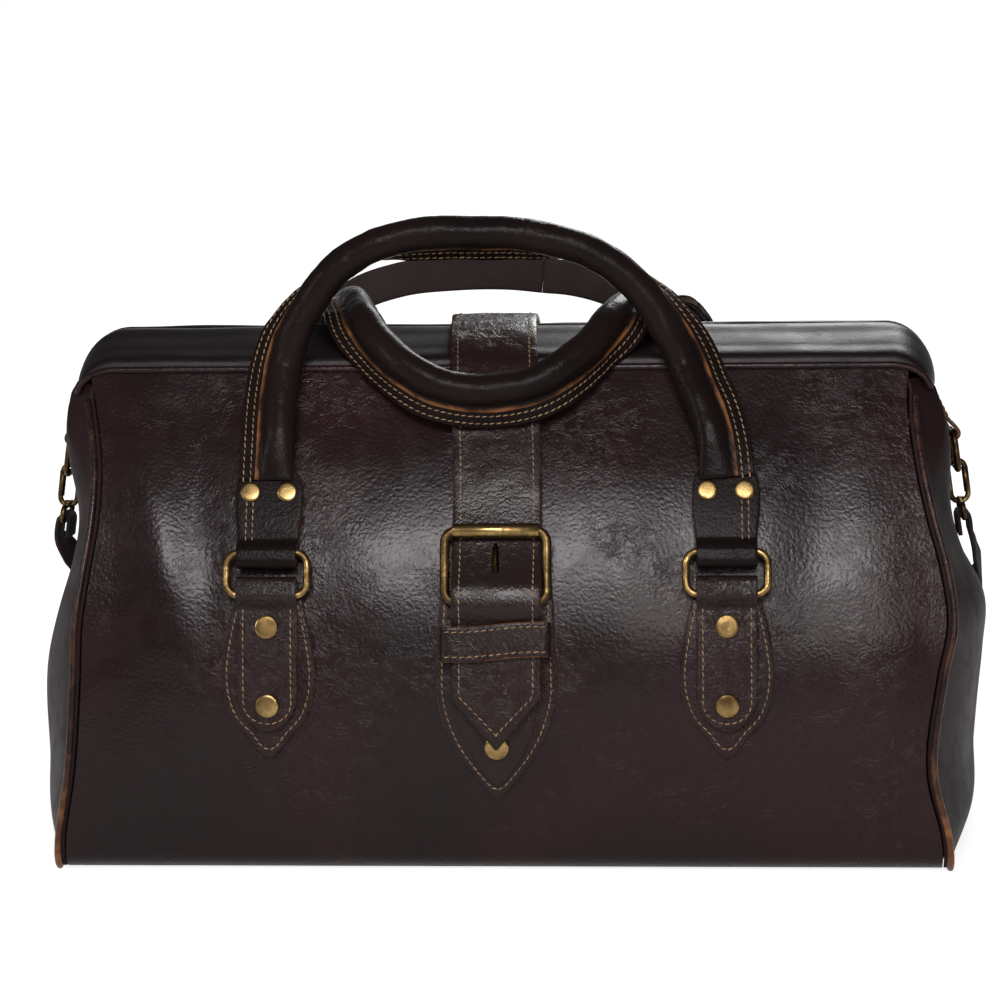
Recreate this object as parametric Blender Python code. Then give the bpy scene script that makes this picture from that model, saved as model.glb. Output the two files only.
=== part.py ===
"""Leather travel bag with a hinged frame mouth, two rolled handles and a buckled closing strap.

Lengths are in metres, +Z is up, +X is right as seen from the front, and the front faces -Y.
The script empties the scene and builds one object for each separate piece of the bag.
"""

import math

import bmesh
import bpy
import numpy as np
from mathutils.geometry import tessellate_polygon

# Body of the bag
BODY_LENGTH = 0.470
BODY_DEPTH = 0.232
PIPING_HEIGHT = 0.264
GUSSET_BULGE = 0.032
GUSSET_ROUNDNESS = 2.2
WALL_CROWN = 0.004
BOTTOM_ROUNDING = 0.015
WALL_THICKNESS = 0.0024
WALL_TOP_RIGID = 0.232
GUSSET_TOP_RIGID = 0.200
GUSSET_TOP = 0.247
GUSSET_CORNER_TOP = 0.2525
GUSSET_CORNER_SHARE = 0.8
CLEARANCE = 0.0004
WELT_RADIUS = 0.0018
BASE_THICKNESS = 0.0028
BOARD_THICKNESS = 0.003
BOARD_MARGIN = 0.012

# The two ends of the body, as the side they lie on
LEFT = -1.0
RIGHT = 1.0

# Shares of the body's measures at shares of the piping's height
HEIGHT_SHARES = (0.0, 0.06, 0.2, 0.4, 0.5, 0.6, 0.7, 0.8, 0.93, 1.0)
DEPTH_SHARES = (0.985, 1.0, 0.996, 0.966, 0.927, 0.862, 0.776, 0.668, 0.491, 0.397)
LENGTH_SHARES = {
    LEFT: (1.002, 0.998, 0.972, 0.953, 0.949, 0.934, 0.918, 0.916, 0.943, 0.962),
    RIGHT: (1.008, 1.004, 0.968, 0.99, 1.012, 1.0, 0.972, 0.950, 0.938, 0.946),
}
BULGE_SHARES = {
    LEFT: (0.33, 0.62, 0.93, 1.0, 0.78, 0.58, 0.44, 0.42, 0.36, 0.3),
    RIGHT: (0.33, 0.66, 1.0, 0.97, 0.80, 0.50, 0.38, 0.36, 0.34, 0.3),
}
WALL_ROW_SHARES = (0.1, 0.2, 0.32, 0.45, 0.56, 0.66, 0.7576, 0.80, 0.84, 0.88, 0.92, 1.0)
ROUNDING_STEPS = 4
WALL_COLUMNS = 10
GUSSET_COLUMNS = 10
TOP_ROWS = 4

# Frame of the mouth
HINGE_HEIGHT = 0.225
FRAME_SETBACK = 0.025
FRAME_HALF_LENGTH = BODY_LENGTH / 2.0 - FRAME_SETBACK
FRAME_END_REACH = 0.027
FRAME_TOP = 0.281
COVER_FOOT = 0.249
COVER_THICKNESS = 0.0022
COVER_PATH_Y_SHARES = (1.0, 0.985, 0.72, 0.42, 0.16, 0.065, 0.04, 0.025)
COVER_PATH_Z_SHARES = (0.40, 0.515, 0.72, 0.87, 0.985, 0.97, 0.88, 0.45)
COVER_HALF_DEPTH = 0.047
COVER_COLUMNS = 8
COVER_END_STEPS = 4
COVER_EDGE_DRAW = 0.25
BAR_THICKNESS = 0.003
BAR_HEIGHT = 0.011
BAR_OFFSET = 0.0075
BAR_DROP = 0.0026
LEG_INSET = 0.004
EYE_RADIUS = 0.007
LEG_WIDTH = 0.006
LEG_NECK_SHARE = 0.45
LEG_DROP = 0.0015
PIN_RADIUS = 0.0025
PIN_HEAD_RADIUS = 0.0065
PIN_HEAD = 0.002
PIN_HEAD_TAPER_SHARE = 0.8
PIN_CLEARANCE = 0.0003
EYE_STEPS = 16
HALF_EYE_STEPS = EYE_STEPS // 2
JAW_GAP = 0.0006

# Rings, tabs and leaf patches that carry the handles
RING_SPACING = 0.241
RING_WIRE = 0.0042
RING_LENGTH = 0.0468
RING_HEIGHT = 0.0268
RING_CORNER = 0.0068
RING_BAR_HEIGHT = 0.1475
RING_UPPER_OFFSET = 0.0092
RING_PLAY = 0.0007
PATCH_THICKNESS = 0.002
PATCH_HALF_WIDTH = 0.025
PATCH_TOP = 0.1475
PATCH_TIP = 0.063
PATCH_ROW_SHARES = (0.0, 0.03, 0.14, 0.24, 0.36, 0.52, 0.68, 0.82, 0.94, 1.0)
PATCH_WIDTH_SHARES = (0.08, 0.17, 0.46, 0.76, 0.93, 1.0, 0.95, 0.86, 0.76, 0.72)
TAB_WIDTH = 0.0316
TAB_LAYER = 0.0018
TAB_FOOT = 0.079
TAB_SLACK = 0.0052
TAB_ROW_SHARES = (1.0, 0.965, 0.90, 0.82, 0.72, 0.45, 0.22)
TAB_WIDTH_SHARES = (0.14, 0.42, 0.72, 0.92, 1.0, 1.0, 1.0)
TAB_RIVET_HEIGHTS = (0.132, 0.092)
RIVET_RADIUS = 0.0063
RIVET_HEIGHT = 0.0024
RIVET_STEPS = 12
# Width and height of a rivet head at its foot, its edge and its shoulder, each as a share
RIVET_SHARES = ((1.0, 0.0), (1.0, 0.35), (0.72, 0.85))

# Handles
HANDLE_ROLL = 0.0088
HANDLE_FLANGE = 0.0112
HANDLE_FLANGE_HALF = 0.0021
HANDLE_LAYER = 0.0019
HANDLE_END_WIDTH = 0.0355
HANDLE_END_TOP = 0.209
HANDLE_ROLL_START = 0.2055
HANDLE_RIVET_HEIGHT = 0.1978
HANDLE_RIVET_SPACING = 0.0195
ROLL_STEPS = 10
HANDLE_RIVET_SHARE = 0.86
HANDLE_SLACK = 0.0040
HANDLE_END_ROW_SHARES = (1.0, 0.78, 0.5, 0.25)
HANDLE_END_WIDTH_SHARES = (0.66, 1.0, 1.0, 0.89)
FLAT_START_SHARES = (0.35, 0.62, 0.85)
FRONT_ARCH_TOP = 0.3355
FRONT_ARCH_HALF = 0.1155
BACK_REACH = 0.0765
BACK_TOP = 0.2925
BACK_DRIFT = -0.0065
BACK_HALF = 0.1185
LEG_OFFSET = 0.0118
FRONT_LEG_TOP = 0.252
BACK_LEG_TOP = 0.247
ARCH_BACKSET = 0.002
ARCH_FOOT_HEIGHT = 0.264
ARCH_FOOT_DEPTH = 0.0605

# Share of the way up the leg, and distance from the middle as a share of the half width
FRONT_LEG_SHARES = {
    LEFT: ((0.0, 1.01), (0.3, 1.006), (0.62, 1.006), (0.9, 1.0)),
    RIGHT: ((0.0, 1.0), (0.3, 0.982), (0.62, 0.945), (0.9, 0.893)),
}
BACK_LEG_SHARES = ((0.0, 1.0), (0.3, 0.985), (0.62, 0.95), (0.92, 0.90))
# Place across, rise and set back of the arch from its left foot to its right one
FRONT_ARCH_SHARES = (
    (-0.99, 0.0, 0.0),
    (-0.944, 0.273, 0.15),
    (-0.866, 0.497, 0.5),
    (-0.758, 0.720, 0.75),
    (-0.597, 0.888, 0.9),
    (-0.433, 0.972, 1.0),
    (-0.268, 1.0, 1.0),
    (-0.104, 1.0, 1.0),
    (0.069, 0.993, 1.0),
    (0.242, 0.944, 1.0),
    (0.411, 0.860, 0.9),
    (0.567, 0.706, 0.75),
    (0.693, 0.497, 0.5),
    (0.784, 0.252, 0.15),
    (0.858, 0.0, 0.0),
)
# Distance from the middle, place between front and back, and height of the hanging loop
BACK_LOOP_SHARES = (
    (0.80, 0.66, 0.945),
    (0.735, 0.30, 0.992),
    (0.665, 0.0, 1.003),
    (0.605, -0.30, 0.993),
    (0.55, -0.59, 0.978),
    (0.475, -0.79, 0.945),
    (0.36, -0.925, 0.910),
    (0.225, -0.985, 0.880),
    (0.075, -1.0, 0.8665),
)
# Turn of the flange about the roll, in half turns, at shares of the arch's rise
FLANGE_TURN_HEIGHT_SHARES = (-0.5, 0.0, 0.33, 0.62, 0.85, 1.0)
FLANGE_TURN_SHARES = (0.0, 0.08, 0.25, 0.42, 0.56, 0.76)
FLANGE_HANG_START = 0.35
FLANGE_HANG_SPAN = 0.4
FLANGE_HANG_GAIN = 1.6

# Closing strap, buckle, keeper and the leather under them
STRAP_WIDTH = 0.047
STRAP_THICKNESS = 0.003
STRAP_TIP = 0.070
STRAP_TAPER = 0.027
STRAP_TIP_SHARE = 0.05
STRAP_BACK_FOOT = 0.135
STRAP_RISE = 0.0022
STRAP_BACK_STAND = 0.0006
STRAP_BACK_START = 0.190
STRAP_BACK_ROWS = 6
STRAP_ARCH_HALF = 0.0625
STRAP_ARCH_SHARES = (
    (-1.02, 0.875),
    (-0.955, 0.903),
    (-0.85, 0.937),
    (-0.70, 0.963),
    (-0.50, 0.985),
    (-0.26, 1.001),
    (0.0, 1.009),
    (0.26, 1.001),
    (0.50, 0.985),
    (0.70, 0.963),
    (0.85, 0.937),
    (0.955, 0.903),
    (1.02, 0.875),
)
STRAP_FALL_SHARES = (0.7, 0.62, 1.8, 0.9)
STRAP_LIE_SHARE = 0.9
STRAP_TOP_RISE = 1.3
LEAF_HALF_WIDTH = 0.0315
LEAF_TIP = 0.041
LEAF_TOP = 0.158
LEAF_ROW_SHARES = (0.0, 0.03, 0.12, 0.22, 0.34, 0.46, 0.60, 0.80, 1.0)
LEAF_WIDTH_SHARES = (0.06, 0.14, 0.42, 0.68, 0.88, 0.99, 1.0, 0.97, 0.92)
CHAPE_HALF_WIDTH = 0.0215
CHAPE_LAYER = 0.0017
CHAPE_TIP = 0.049
CHAPE_TAPER = 0.050
CHAPE_ROW_SHARES = (0.0, 0.12, 0.3, 0.5, 0.75, 1.0)
CHAPE_WIDTH_SHARES = (0.06, 0.30, 0.58, 0.80, 0.95, 1.0)
CHAPE_SLOT = 0.0085
CHAPE_SLOT_REACH_SHARE = 1.4
CHAPE_UPPER_ROWS = 5
CHAPE_FOLD_SHARE = 1.95
FOLD_JOIN_SHARE = 1.7
BUCKLE_BAR_HEIGHT = 0.1442
BUCKLE_WIRE = 0.0050
BUCKLE_LENGTH = 0.0585
BUCKLE_HEIGHT = 0.0425
BUCKLE_CORNER = 0.006
BUCKLE_UPPER_OFFSET = 0.0108
ROLLER_RADIUS = 0.0039
ROLLER_BORE = 0.0027
ROLLER_LENGTH = 0.0455
PRONG_RADIUS = 0.0019
PRONG_HOLE_HEIGHT = 0.157
PRONG_HOLE_HALF_WIDTH = 0.0028
PRONG_HOLE_HALF_HEIGHT = 0.0062
PRONG_REACH_SHARE = 0.80
PRONG_EYE_WALL = 0.0014
PRONG_EYE_LENGTH = 0.0055
KEEPER_LOW = 0.1155
KEEPER_HIGH = 0.1340
KEEPER_WALL = 0.0017
KEEPER_SIDE = 0.0024
KEEPER_PLAY = 0.0012
KEEPER_LIFT = 0.0016
KEEPER_ROWS = 3
CAP_RADIUS = 0.0065
CAP_HEIGHT = 0.003

# Side tabs, D-rings, snap hooks and shoulder strap
SIDE_TAB_WIDTH = 0.020
SIDE_TAB_TOP = 0.244
SIDE_TAB_ROW_SHARES = (1.0, 0.66, 0.33)
SIDE_BAR_HEIGHT = 0.2195
SIDE_BAR_STAND = 0.0135
SIDE_LAYER = 0.0022
SIDE_WIRE = 0.0034
SIDE_LEAN = math.radians(8.0)
SIDE_RING_LENGTH = 0.034
SIDE_RING_HEIGHT = 0.0235
SIDE_RING_CORNER = 0.006
HOOK_WIRE = 0.003
HOOK_WIDTH = 0.0125
HOOK_HEIGHT = 0.026
HOOK_LOOP_LENGTH = 0.029
HOOK_LOOP_HEIGHT = 0.011
HOOK_CORNER = 0.0056
HOOK_LOOP_CORNER = 0.0036
SHOULDER_WIDTH = 0.020
SHOULDER_THICKNESS = 0.0022
SHOULDER_BEND_STEPS = 6
SHOULDER_REACH = 0.145
SHOULDER_TOP = 0.304
SHOULDER_FOLD_SHARE = 3.2
SHOULDER_DRIFT = -0.015
SHOULDER_DRIFT_HEIGHT_SHARES = (0.0, 0.5, 1.0)
SHOULDER_DRIFT_SHARES = (0.0, 0.0, 1.0)
SHOULDER_STAND = 0.0065
# Reach behind the bag's middle and height, each as a share, where the strap follows the gusset
SHOULDER_SIDE_SHARES = ((0.08, 0.488), (0.24, 0.44), (0.46, 0.385), (0.70, 0.33))
# Distance from the bag's middle, reach behind it and height, each as a share
SHOULDER_SHARES = (
    (0.945, 0.93, 0.285),
    (0.81, 1.0, 0.27),
    (0.66, 1.0, 0.29),
    (0.54, 0.97, 0.39),
    (0.46, 0.87, 0.58),
    (0.42, 0.72, 0.77),
    (0.38, 0.57, 0.895),
    (0.31, 0.50, 0.955),
    (0.20, 0.47, 0.988),
    (0.07, 0.46, 1.0),
)
SHOULDER_TURN_START = 0.5
SHOULDER_TURN_SPAN = 0.45
SHOULDER_CORNER_SHARE = 0.98
SHOULDER_CORNER_SPAN = 0.15

# Colour, roughness and metallic share of each stuff
OXBLOOD = ((0.055, 0.018, 0.014), 0.35, 0.0)
FLESH_SIDE = ((0.20, 0.15, 0.11), 0.7, 0.0)
BRASS = ((0.52, 0.36, 0.14), 0.32, 1.0)
STEEL = ((0.45, 0.45, 0.44), 0.4, 1.0)
BOARD = ((0.25, 0.17, 0.10), 0.8, 0.0)

# Fineness of the small round work
WIRE_STEPS = 8
CORNER_STEPS = 3
FOLD_STEPS = 8
FOLD_HOLE_STEPS = 6
PATCH_COLUMNS = 5
PATH_STEPS = 2
ARC_STEPS = 120
SEARCH_STEPS = 40
CUT_OVERRUN = 0.003
NORMAL_STEP = 0.005
LEAST_ROW = 0.005

FULL_TURN = 2.0 * math.pi
QUARTER_TURN = math.pi / 2.0
FRONT = -1.0
BACK = 1.0
SIDES = {"front": FRONT, "back": BACK}
ENDS = {"left": LEFT, "right": RIGHT}


def clear_scene():
    for old in list(bpy.data.objects):
        bpy.data.objects.remove(old)


def material(name, stuff):
    colour, roughness, metallic = stuff
    made = bpy.data.materials.new(name)
    made.use_nodes = True
    shader = made.node_tree.nodes["Principled BSDF"]
    shader.inputs["Base Color"].default_value = (*colour, 1.0)
    shader.inputs["Roughness"].default_value = roughness
    shader.inputs["Metallic"].default_value = metallic
    return made


def leather(name):
    return material(name, OXBLOOD)


def brass(name):
    return material(name, BRASS)


def unit(vector):
    vector = np.asarray(vector, float)
    return vector / np.linalg.norm(vector)


def make_object(name, points, faces, made_of, origin=(0.0, 0.0, 0.0), smooth=True):
    """One closed mesh with its origin at the given place and its normals facing out."""
    origin = np.asarray(origin, float)
    mesh = bpy.data.meshes.new(name)
    mesh.from_pydata([tuple(np.asarray(p) - origin) for p in points], [], [list(f) for f in faces])
    shape = bmesh.new()
    shape.from_mesh(mesh)
    bmesh.ops.recalc_face_normals(shape, faces=shape.faces)
    shape.to_mesh(mesh)
    shape.free()
    if smooth:
        mesh.shade_smooth()
    obj = bpy.data.objects.new(name, mesh)
    obj.location = origin
    bpy.context.scene.collection.objects.link(obj)
    if made_of is not None:
        mesh.materials.append(made_of)
    return obj


def hide_helper(obj):
    obj.hide_render = True
    obj.display_type = "WIRE"
    return obj


def combine(target, helper, operation):
    """Joins a helper solid to the target or cuts it away."""
    hide_helper(helper)
    step = target.modifiers.new(operation.title() + " " + helper.name, "BOOLEAN")
    step.operation = operation
    step.solver = "EXACT"
    step.object = helper
    return target


def smooth_value(knots, values, at):
    """Value at a place on a smooth line through the table's points."""
    knots = np.asarray(knots, float)
    values = np.asarray(values, float)
    slopes = np.gradient(values, knots)
    at = min(max(at, knots[0]), knots[-1])
    k = min(int(np.searchsorted(knots, at, side="right")) - 1, len(knots) - 2)
    span = knots[k + 1] - knots[k]
    t = (at - knots[k]) / span
    start = (1.0 + 2.0 * t) * (1.0 - t) ** 2 * values[k] + t * (1.0 - t) ** 2 * span * slopes[k]
    end = t**2 * (3.0 - 2.0 * t) * values[k + 1] + t**2 * (t - 1.0) * span * slopes[k + 1]
    return start + end


def smooth_path(points, steps):
    """Points along a smooth line through the given ones, this many to each span."""
    points = np.asarray(points, float)
    knots = np.concatenate([[0.0], np.cumsum(np.linalg.norm(np.diff(points, axis=0), axis=1))])
    places = np.concatenate(
        [np.linspace(knots[k], knots[k + 1], steps, endpoint=False) for k in range(len(knots) - 1)]
        + [knots[-1:]]
    )
    return np.array(
        [[smooth_value(knots, points[:, axis], at) for axis in range(3)] for at in places]
    )


# Outer form of the body


def half_length(z, end):
    """Distance of an end's seams from the middle of the bag."""
    return BODY_LENGTH / 2.0 * smooth_value(HEIGHT_SHARES, LENGTH_SHARES[end], z / PIPING_HEIGHT)


def half_depth(z):
    return BODY_DEPTH / 2.0 * smooth_value(HEIGHT_SHARES, DEPTH_SHARES, z / PIPING_HEIGHT)


def gusset_bulge(z, end):
    return GUSSET_BULGE * smooth_value(HEIGHT_SHARES, BULGE_SHARES[end], z / PIPING_HEIGHT)


def edge_depth(z):
    """Distance of the walls' side edges from the middle plane."""
    if z >= BOTTOM_ROUNDING:
        return half_depth(z)
    drop = BOTTOM_ROUNDING - z
    return half_depth(BOTTOM_ROUNDING) - BOTTOM_ROUNDING + math.sqrt(BOTTOM_ROUNDING**2 - drop**2)


def wall_depth(x, z):
    """Distance of the walls' outer face from the middle plane, with their crown."""
    if z <= BOTTOM_ROUNDING:
        return edge_depth(z)
    rise = (z - BOTTOM_ROUNDING) / (PIPING_HEIGHT - BOTTOM_ROUNDING)
    crown = WALL_CROWN * math.sin(math.pi * min(rise, 1.0))
    share = x / half_length(z, RIGHT if x > 0.0 else LEFT)
    return edge_depth(z) + crown * (1.0 - share**2)


def rounding_heights():
    turns = np.linspace(0.0, QUARTER_TURN, ROUNDING_STEPS + 1)
    return [BOTTOM_ROUNDING * (1.0 - math.cos(turn)) for turn in turns]


def rows_between(low, high):
    rows = [PIPING_HEIGHT * share for share in WALL_ROW_SHARES]
    return [low] + [z for z in rows if low + LEAST_ROW < z < high - LEAST_ROW] + [high]


def wall_point(x, z, side):
    return np.array([x, side * wall_depth(x, z), z])


def wall_normal(x, z, side):
    along = wall_point(x + NORMAL_STEP, z, side) - wall_point(x - NORMAL_STEP, z, side)
    up = wall_point(x, z + NORMAL_STEP, side) - wall_point(x, z - NORMAL_STEP, side)
    return -side * unit(np.cross(along, up))


ARC_HEIGHTS = np.linspace(BOTTOM_ROUNDING, PIPING_HEIGHT, ARC_STEPS)
ARC_DEPTHS = np.array([wall_depth(0.0, z) for z in ARC_HEIGHTS])
ARC_LENGTHS = np.concatenate(
    [[0.0], np.cumsum(np.hypot(np.diff(ARC_HEIGHTS), np.diff(ARC_DEPTHS)))]
)


def arc_of(z):
    return float(np.interp(z, ARC_HEIGHTS, ARC_LENGTHS))


def height_after(z, run):
    """Height reached by going this far up along the wall from the height z."""
    return float(np.interp(arc_of(z) + run, ARC_LENGTHS, ARC_HEIGHTS))


def on_wall(x, z, offset, side):
    """Point that stands off the outer face of a wall."""
    return wall_point(x, z, side) + offset * wall_normal(x, z, side)


# Solids from grids, outlines and paths


def grid_faces(rows, columns, start=0, flip=False):
    faces = []
    for r in range(rows - 1):
        for c in range(columns - 1):
            a = start + r * columns + c
            face = (a, a + 1, a + columns + 1, a + columns)
            faces.append(face[::-1] if flip else face)
    return faces


def shell_solid(name, outer, inner, made_of, origin=(0.0, 0.0, 0.0)):
    """Closed solid between two grids of points with the same rows and columns."""
    outer = np.asarray(outer, float)
    inner = np.asarray(inner, float)
    rows, columns = outer.shape[:2]
    count = rows * columns
    points = np.concatenate([outer.reshape(-1, 3), inner.reshape(-1, 3)])
    faces = grid_faces(rows, columns) + grid_faces(rows, columns, count, True)
    border = list(range(columns))
    border += [r * columns + columns - 1 for r in range(1, rows)]
    border += [(rows - 1) * columns + c for c in range(columns - 2, -1, -1)]
    border += [r * columns for r in range(rows - 2, 0, -1)]
    for k, a in enumerate(border):
        b = border[(k + 1) % len(border)]
        faces.append((a, a + count, b + count, b))
    return make_object(name, points, faces, made_of, origin)


def thickened(outer, thickness, inside):
    """Grid that lies this far on the inside of the outer one, inside being a point within."""
    outer = np.asarray(outer, float)
    rows, columns = outer.shape[:2]
    inner = np.empty_like(outer)
    for r in range(rows):
        for c in range(columns):
            along = outer[r, min(c + 1, columns - 1)] - outer[r, max(c - 1, 0)]
            up = outer[min(r + 1, rows - 1), c] - outer[max(r - 1, 0), c]
            normal = unit(np.cross(along, up))
            if normal @ (np.asarray(inside) - outer[r, c]) < 0.0:
                normal = -normal
            inner[r, c] = outer[r, c] + thickness * normal
    return inner


def slab_on_wall(name, rows, columns, low, high, side, made_of):
    """Piece that lies on a wall: rows of (height, left, right), from one offset to another."""
    outer, inner = [], []
    for z, left, right in rows:
        places = np.linspace(left, right, columns)
        outer.append([on_wall(x, z, high, side) for x in places])
        inner.append([on_wall(x, z, low, side) for x in places])
    return shell_solid(name, outer, inner, made_of)


def prism(name, outline, holes, places, place, made_of, origin=(0.0, 0.0, 0.0)):
    """Outline with holes carried along the given places, each point put in space by place."""
    loops = [outline] + holes
    flat = [p for loop in loops for p in loop]
    caps = tessellate_polygon([[(u, v, 0.0) for u, v in loop] for loop in loops])
    count = len(flat)
    points = [place(x, u, v) for x in places for u, v in flat]
    last = count * (len(places) - 1)
    faces = [tuple(reversed(tri)) for tri in caps]
    faces += [tuple(last + k for k in tri) for tri in caps]
    start = 0
    for loop in loops:
        for k in range(len(loop)):
            a = start + k
            b = start + (k + 1) % len(loop)
            for layer in range(len(places) - 1):
                shift = layer * count
                faces.append((a + shift, b + shift, b + shift + count, a + shift + count))
        start += len(loop)
    return make_object(name, points, faces, made_of, origin)


def circle(radius, steps, centre=(0.0, 0.0), start=0.0):
    turns = [start + FULL_TURN * k / steps for k in range(steps)]
    return [
        (centre[0] + radius * math.cos(turn), centre[1] + radius * math.sin(turn)) for turn in turns
    ]


def tangents(path, closed):
    ahead = np.roll(path, -1, axis=0)
    behind = np.roll(path, 1, axis=0)
    if not closed:
        ahead[-1] = path[-1]
        behind[0] = path[0]
    steps = ahead - behind
    return steps / np.linalg.norm(steps, axis=1)[:, None]


def sweep(name, path, sideways, section, made_of, closed=False, scales=None, origin=(0.0, 0.0, 0.0)):
    """Section of (side, lift) points carried along a path, sideways giving its side direction."""
    path = np.asarray(path, float)
    ways = tangents(path, closed)
    count = len(section)
    points = []
    for k, (place, way) in enumerate(zip(path, ways)):
        aside = np.asarray(sideways[k], float)
        aside = unit(aside - (aside @ way) * way)
        lift = np.cross(way, aside)
        scale = (1.0, 1.0) if scales is None else scales[k]
        for u, v in section:
            points.append(place + aside * u * scale[0] + lift * v * scale[1])
    faces = []
    spans = len(path) if closed else len(path) - 1
    for k in range(spans):
        for j in range(count):
            a = k * count + j
            b = k * count + (j + 1) % count
            c = (b + count) % (len(path) * count)
            d = (a + count) % (len(path) * count)
            faces.append((a, b, c, d))
    if not closed:
        caps = tessellate_polygon([[(u, v, 0.0) for u, v in section]])
        last = (len(path) - 1) * count
        faces += [tuple(reversed(tri)) for tri in caps]
        faces += [tuple(last + j for j in tri) for tri in caps]
    return make_object(name, points, faces, made_of, origin)


def dome(name, centre, normal, radius, height, made_of):
    """Rivet head with a flat foot at the centre point."""
    normal = unit(normal)
    aside = unit(np.cross(normal, (1.0, 0.0, 0.0) if abs(normal[0]) * 2.0 < 1.0 else (0.0, 1.0, 0.0)))
    lift = np.cross(normal, aside)
    points = []
    for wide, high in RIVET_SHARES:
        for u, v in circle(radius * wide, RIVET_STEPS):
            points.append(np.asarray(centre) + aside * u + lift * v + normal * height * high)
    points.append(np.asarray(centre) + normal * height)
    faces = [tuple(range(RIVET_STEPS))]
    for ring in range(len(RIVET_SHARES) - 1):
        for k in range(RIVET_STEPS):
            a = ring * RIVET_STEPS + k
            b = ring * RIVET_STEPS + (k + 1) % RIVET_STEPS
            faces.append((a, b, b + RIVET_STEPS, a + RIVET_STEPS))
    last = (len(RIVET_SHARES) - 1) * RIVET_STEPS
    for k in range(RIVET_STEPS):
        faces.append((last + k, last + (k + 1) % RIVET_STEPS, len(points) - 1))
    return make_object(name, points, faces, made_of, centre)


def rounded_loop(length, height, corner):
    """Closed rounded rectangle in (across, up), with the lower bar's middle at zero."""
    half = length / 2.0 - corner
    points = []
    for middle, start in (
        ((half, height - corner), 0.0),
        ((-half, height - corner), 1.0),
        ((-half, corner), 2.0),
        ((half, corner), 3.0),
    ):
        for k in range(CORNER_STEPS + 1):
            turn = (start + k / CORNER_STEPS) * QUARTER_TURN
            points.append(
                (middle[0] + corner * math.cos(turn), middle[1] + corner * math.sin(turn))
            )
    return points


def wire_loop(name, low, high, across, wire, length, corner, made_of, origin=None):
    """Rounded rectangular wire ring from the middle of its lower bar to that of its upper bar."""
    low = np.asarray(low, float)
    up = np.asarray(high, float) - low
    height = np.linalg.norm(up)
    up = up / height
    across = np.asarray(across, float)
    facing = np.cross(across, up)
    loop = rounded_loop(length - wire, height, corner - wire / 2.0)
    path = [low + across * u + up * v for u, v in loop]
    section = circle(wire / 2.0, WIRE_STEPS, start=math.pi / WIRE_STEPS)
    where = low if origin is None else origin
    return sweep(name, path, [facing] * len(path), section, made_of, True, origin=where)


def fold_outline(bore, layer, run, slack, rows):
    """Side view of a strip folded round a bar at zero: a loop that closes into two layers.

    The loop opens towards -v, the layers lie one on the other from the join to the run, and the
    loop is longer than the bar by the slack.
    """
    outer = bore + layer
    join = outer * FOLD_JOIN_SHARE
    foot = -outer
    outline = [(foot, -run * share) for share in rows]
    outline += [
        (outer * math.cos(turn), slack + outer * math.sin(turn))
        for turn in np.linspace(math.pi, 0.0, FOLD_STEPS + 1)
    ]
    if slack > 0.0:
        outline.append((outer, 0.0))
    front = foot + 2.0 * layer
    outline.append((front, -join))
    outline += [(front, -run * share) for share in reversed(rows) if run * share > join + layer]
    return outline


def fold_hole(bore, slack):
    """Round hole for the bar, drawn out by the slack."""
    rising = np.linspace(0.0, math.pi, FOLD_HOLE_STEPS)
    falling = np.linspace(math.pi, FULL_TURN, FOLD_HOLE_STEPS)
    over = [(bore * math.cos(t), slack + bore * math.sin(t)) for t in rising]
    under = [(bore * math.cos(t), bore * math.sin(t)) for t in falling]
    if slack == 0.0:
        over = over[:-1]
        under = under[:-1]
    return (over + under)[::-1]


def fold(name, width, bore, layer, run, place, made_of, origin, slack=0.0, rows=(1.0,), widths=(1.0,)):
    """Strip folded round a bar, its width at shares of the run given by the shares in widths."""

    def drawn(across, off, along):
        wide = np.interp(-along / run, rows[::-1], widths[::-1])
        return place(across * wide, off, along)

    outline = fold_outline(bore, layer, run, slack, rows)
    places = (-width / 2.0, 0.0, width / 2.0)
    return prism(name, outline, [fold_hole(bore, slack)], places, drawn, made_of, origin)


# Walls, gussets, base


def wall_places(z, inset):
    """Places across a wall at one height, closer together near its side edges."""
    left = inset - half_length(z, LEFT)
    right = half_length(z, RIGHT) - inset
    turns = np.linspace(-QUARTER_TURN, QUARTER_TURN, WALL_COLUMNS + 1)
    return [(left + right) / 2.0 + (right - left) / 2.0 * math.sin(turn) for turn in turns]


def wall_grid(heights, inset, side):
    return [[wall_point(x, z, side) for x in wall_places(z, inset)] for z in heights]


def build_wall(name, side):
    inset = WALL_THICKNESS + CLEARANCE
    low = rounding_heights()
    heights = low + rows_between(BOTTOM_ROUNDING, WALL_TOP_RIGID)[1:]
    outer = np.array(wall_grid(heights, inset, side))
    inside = (0.0, 0.0, PIPING_HEIGHT / 2.0)
    return shell_solid(name, outer, thickened(outer, WALL_THICKNESS, inside), leather(name))


def build_wall_top(name, side):
    inset = WALL_THICKNESS + 2.0 * CLEARANCE
    low = WALL_TOP_RIGID + CLEARANCE
    high = PIPING_HEIGHT - COVER_THICKNESS - CLEARANCE
    outer = []
    for share in np.linspace(0.0, 1.0, TOP_ROWS):
        level = low + (high - low) * share
        row = [
            wall_point(x, level - share * cover_edge_drop(x), side)
            for x in wall_places(level, inset)
        ]
        outer.append(row)
    outer = np.array(outer)
    inside = (0.0, 0.0, PIPING_HEIGHT / 2.0)
    return shell_solid(name, outer, thickened(outer, WALL_THICKNESS, inside), leather(name))


def cover_edge_drop(x):
    """How far the cover's front edge has come down at a place past the frame's straight part."""
    reach = FRAME_END_REACH * (1.0 - COVER_EDGE_DRAW)
    past = min(max(abs(x) - FRAME_HALF_LENGTH, 0.0) / reach, 1.0)
    rise = (FRAME_TOP - COVER_FOOT) * COVER_PATH_Z_SHARES[0]
    return rise * (1.0 - math.sqrt(1.0 - past**2)) + COVER_THICKNESS * past


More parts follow.
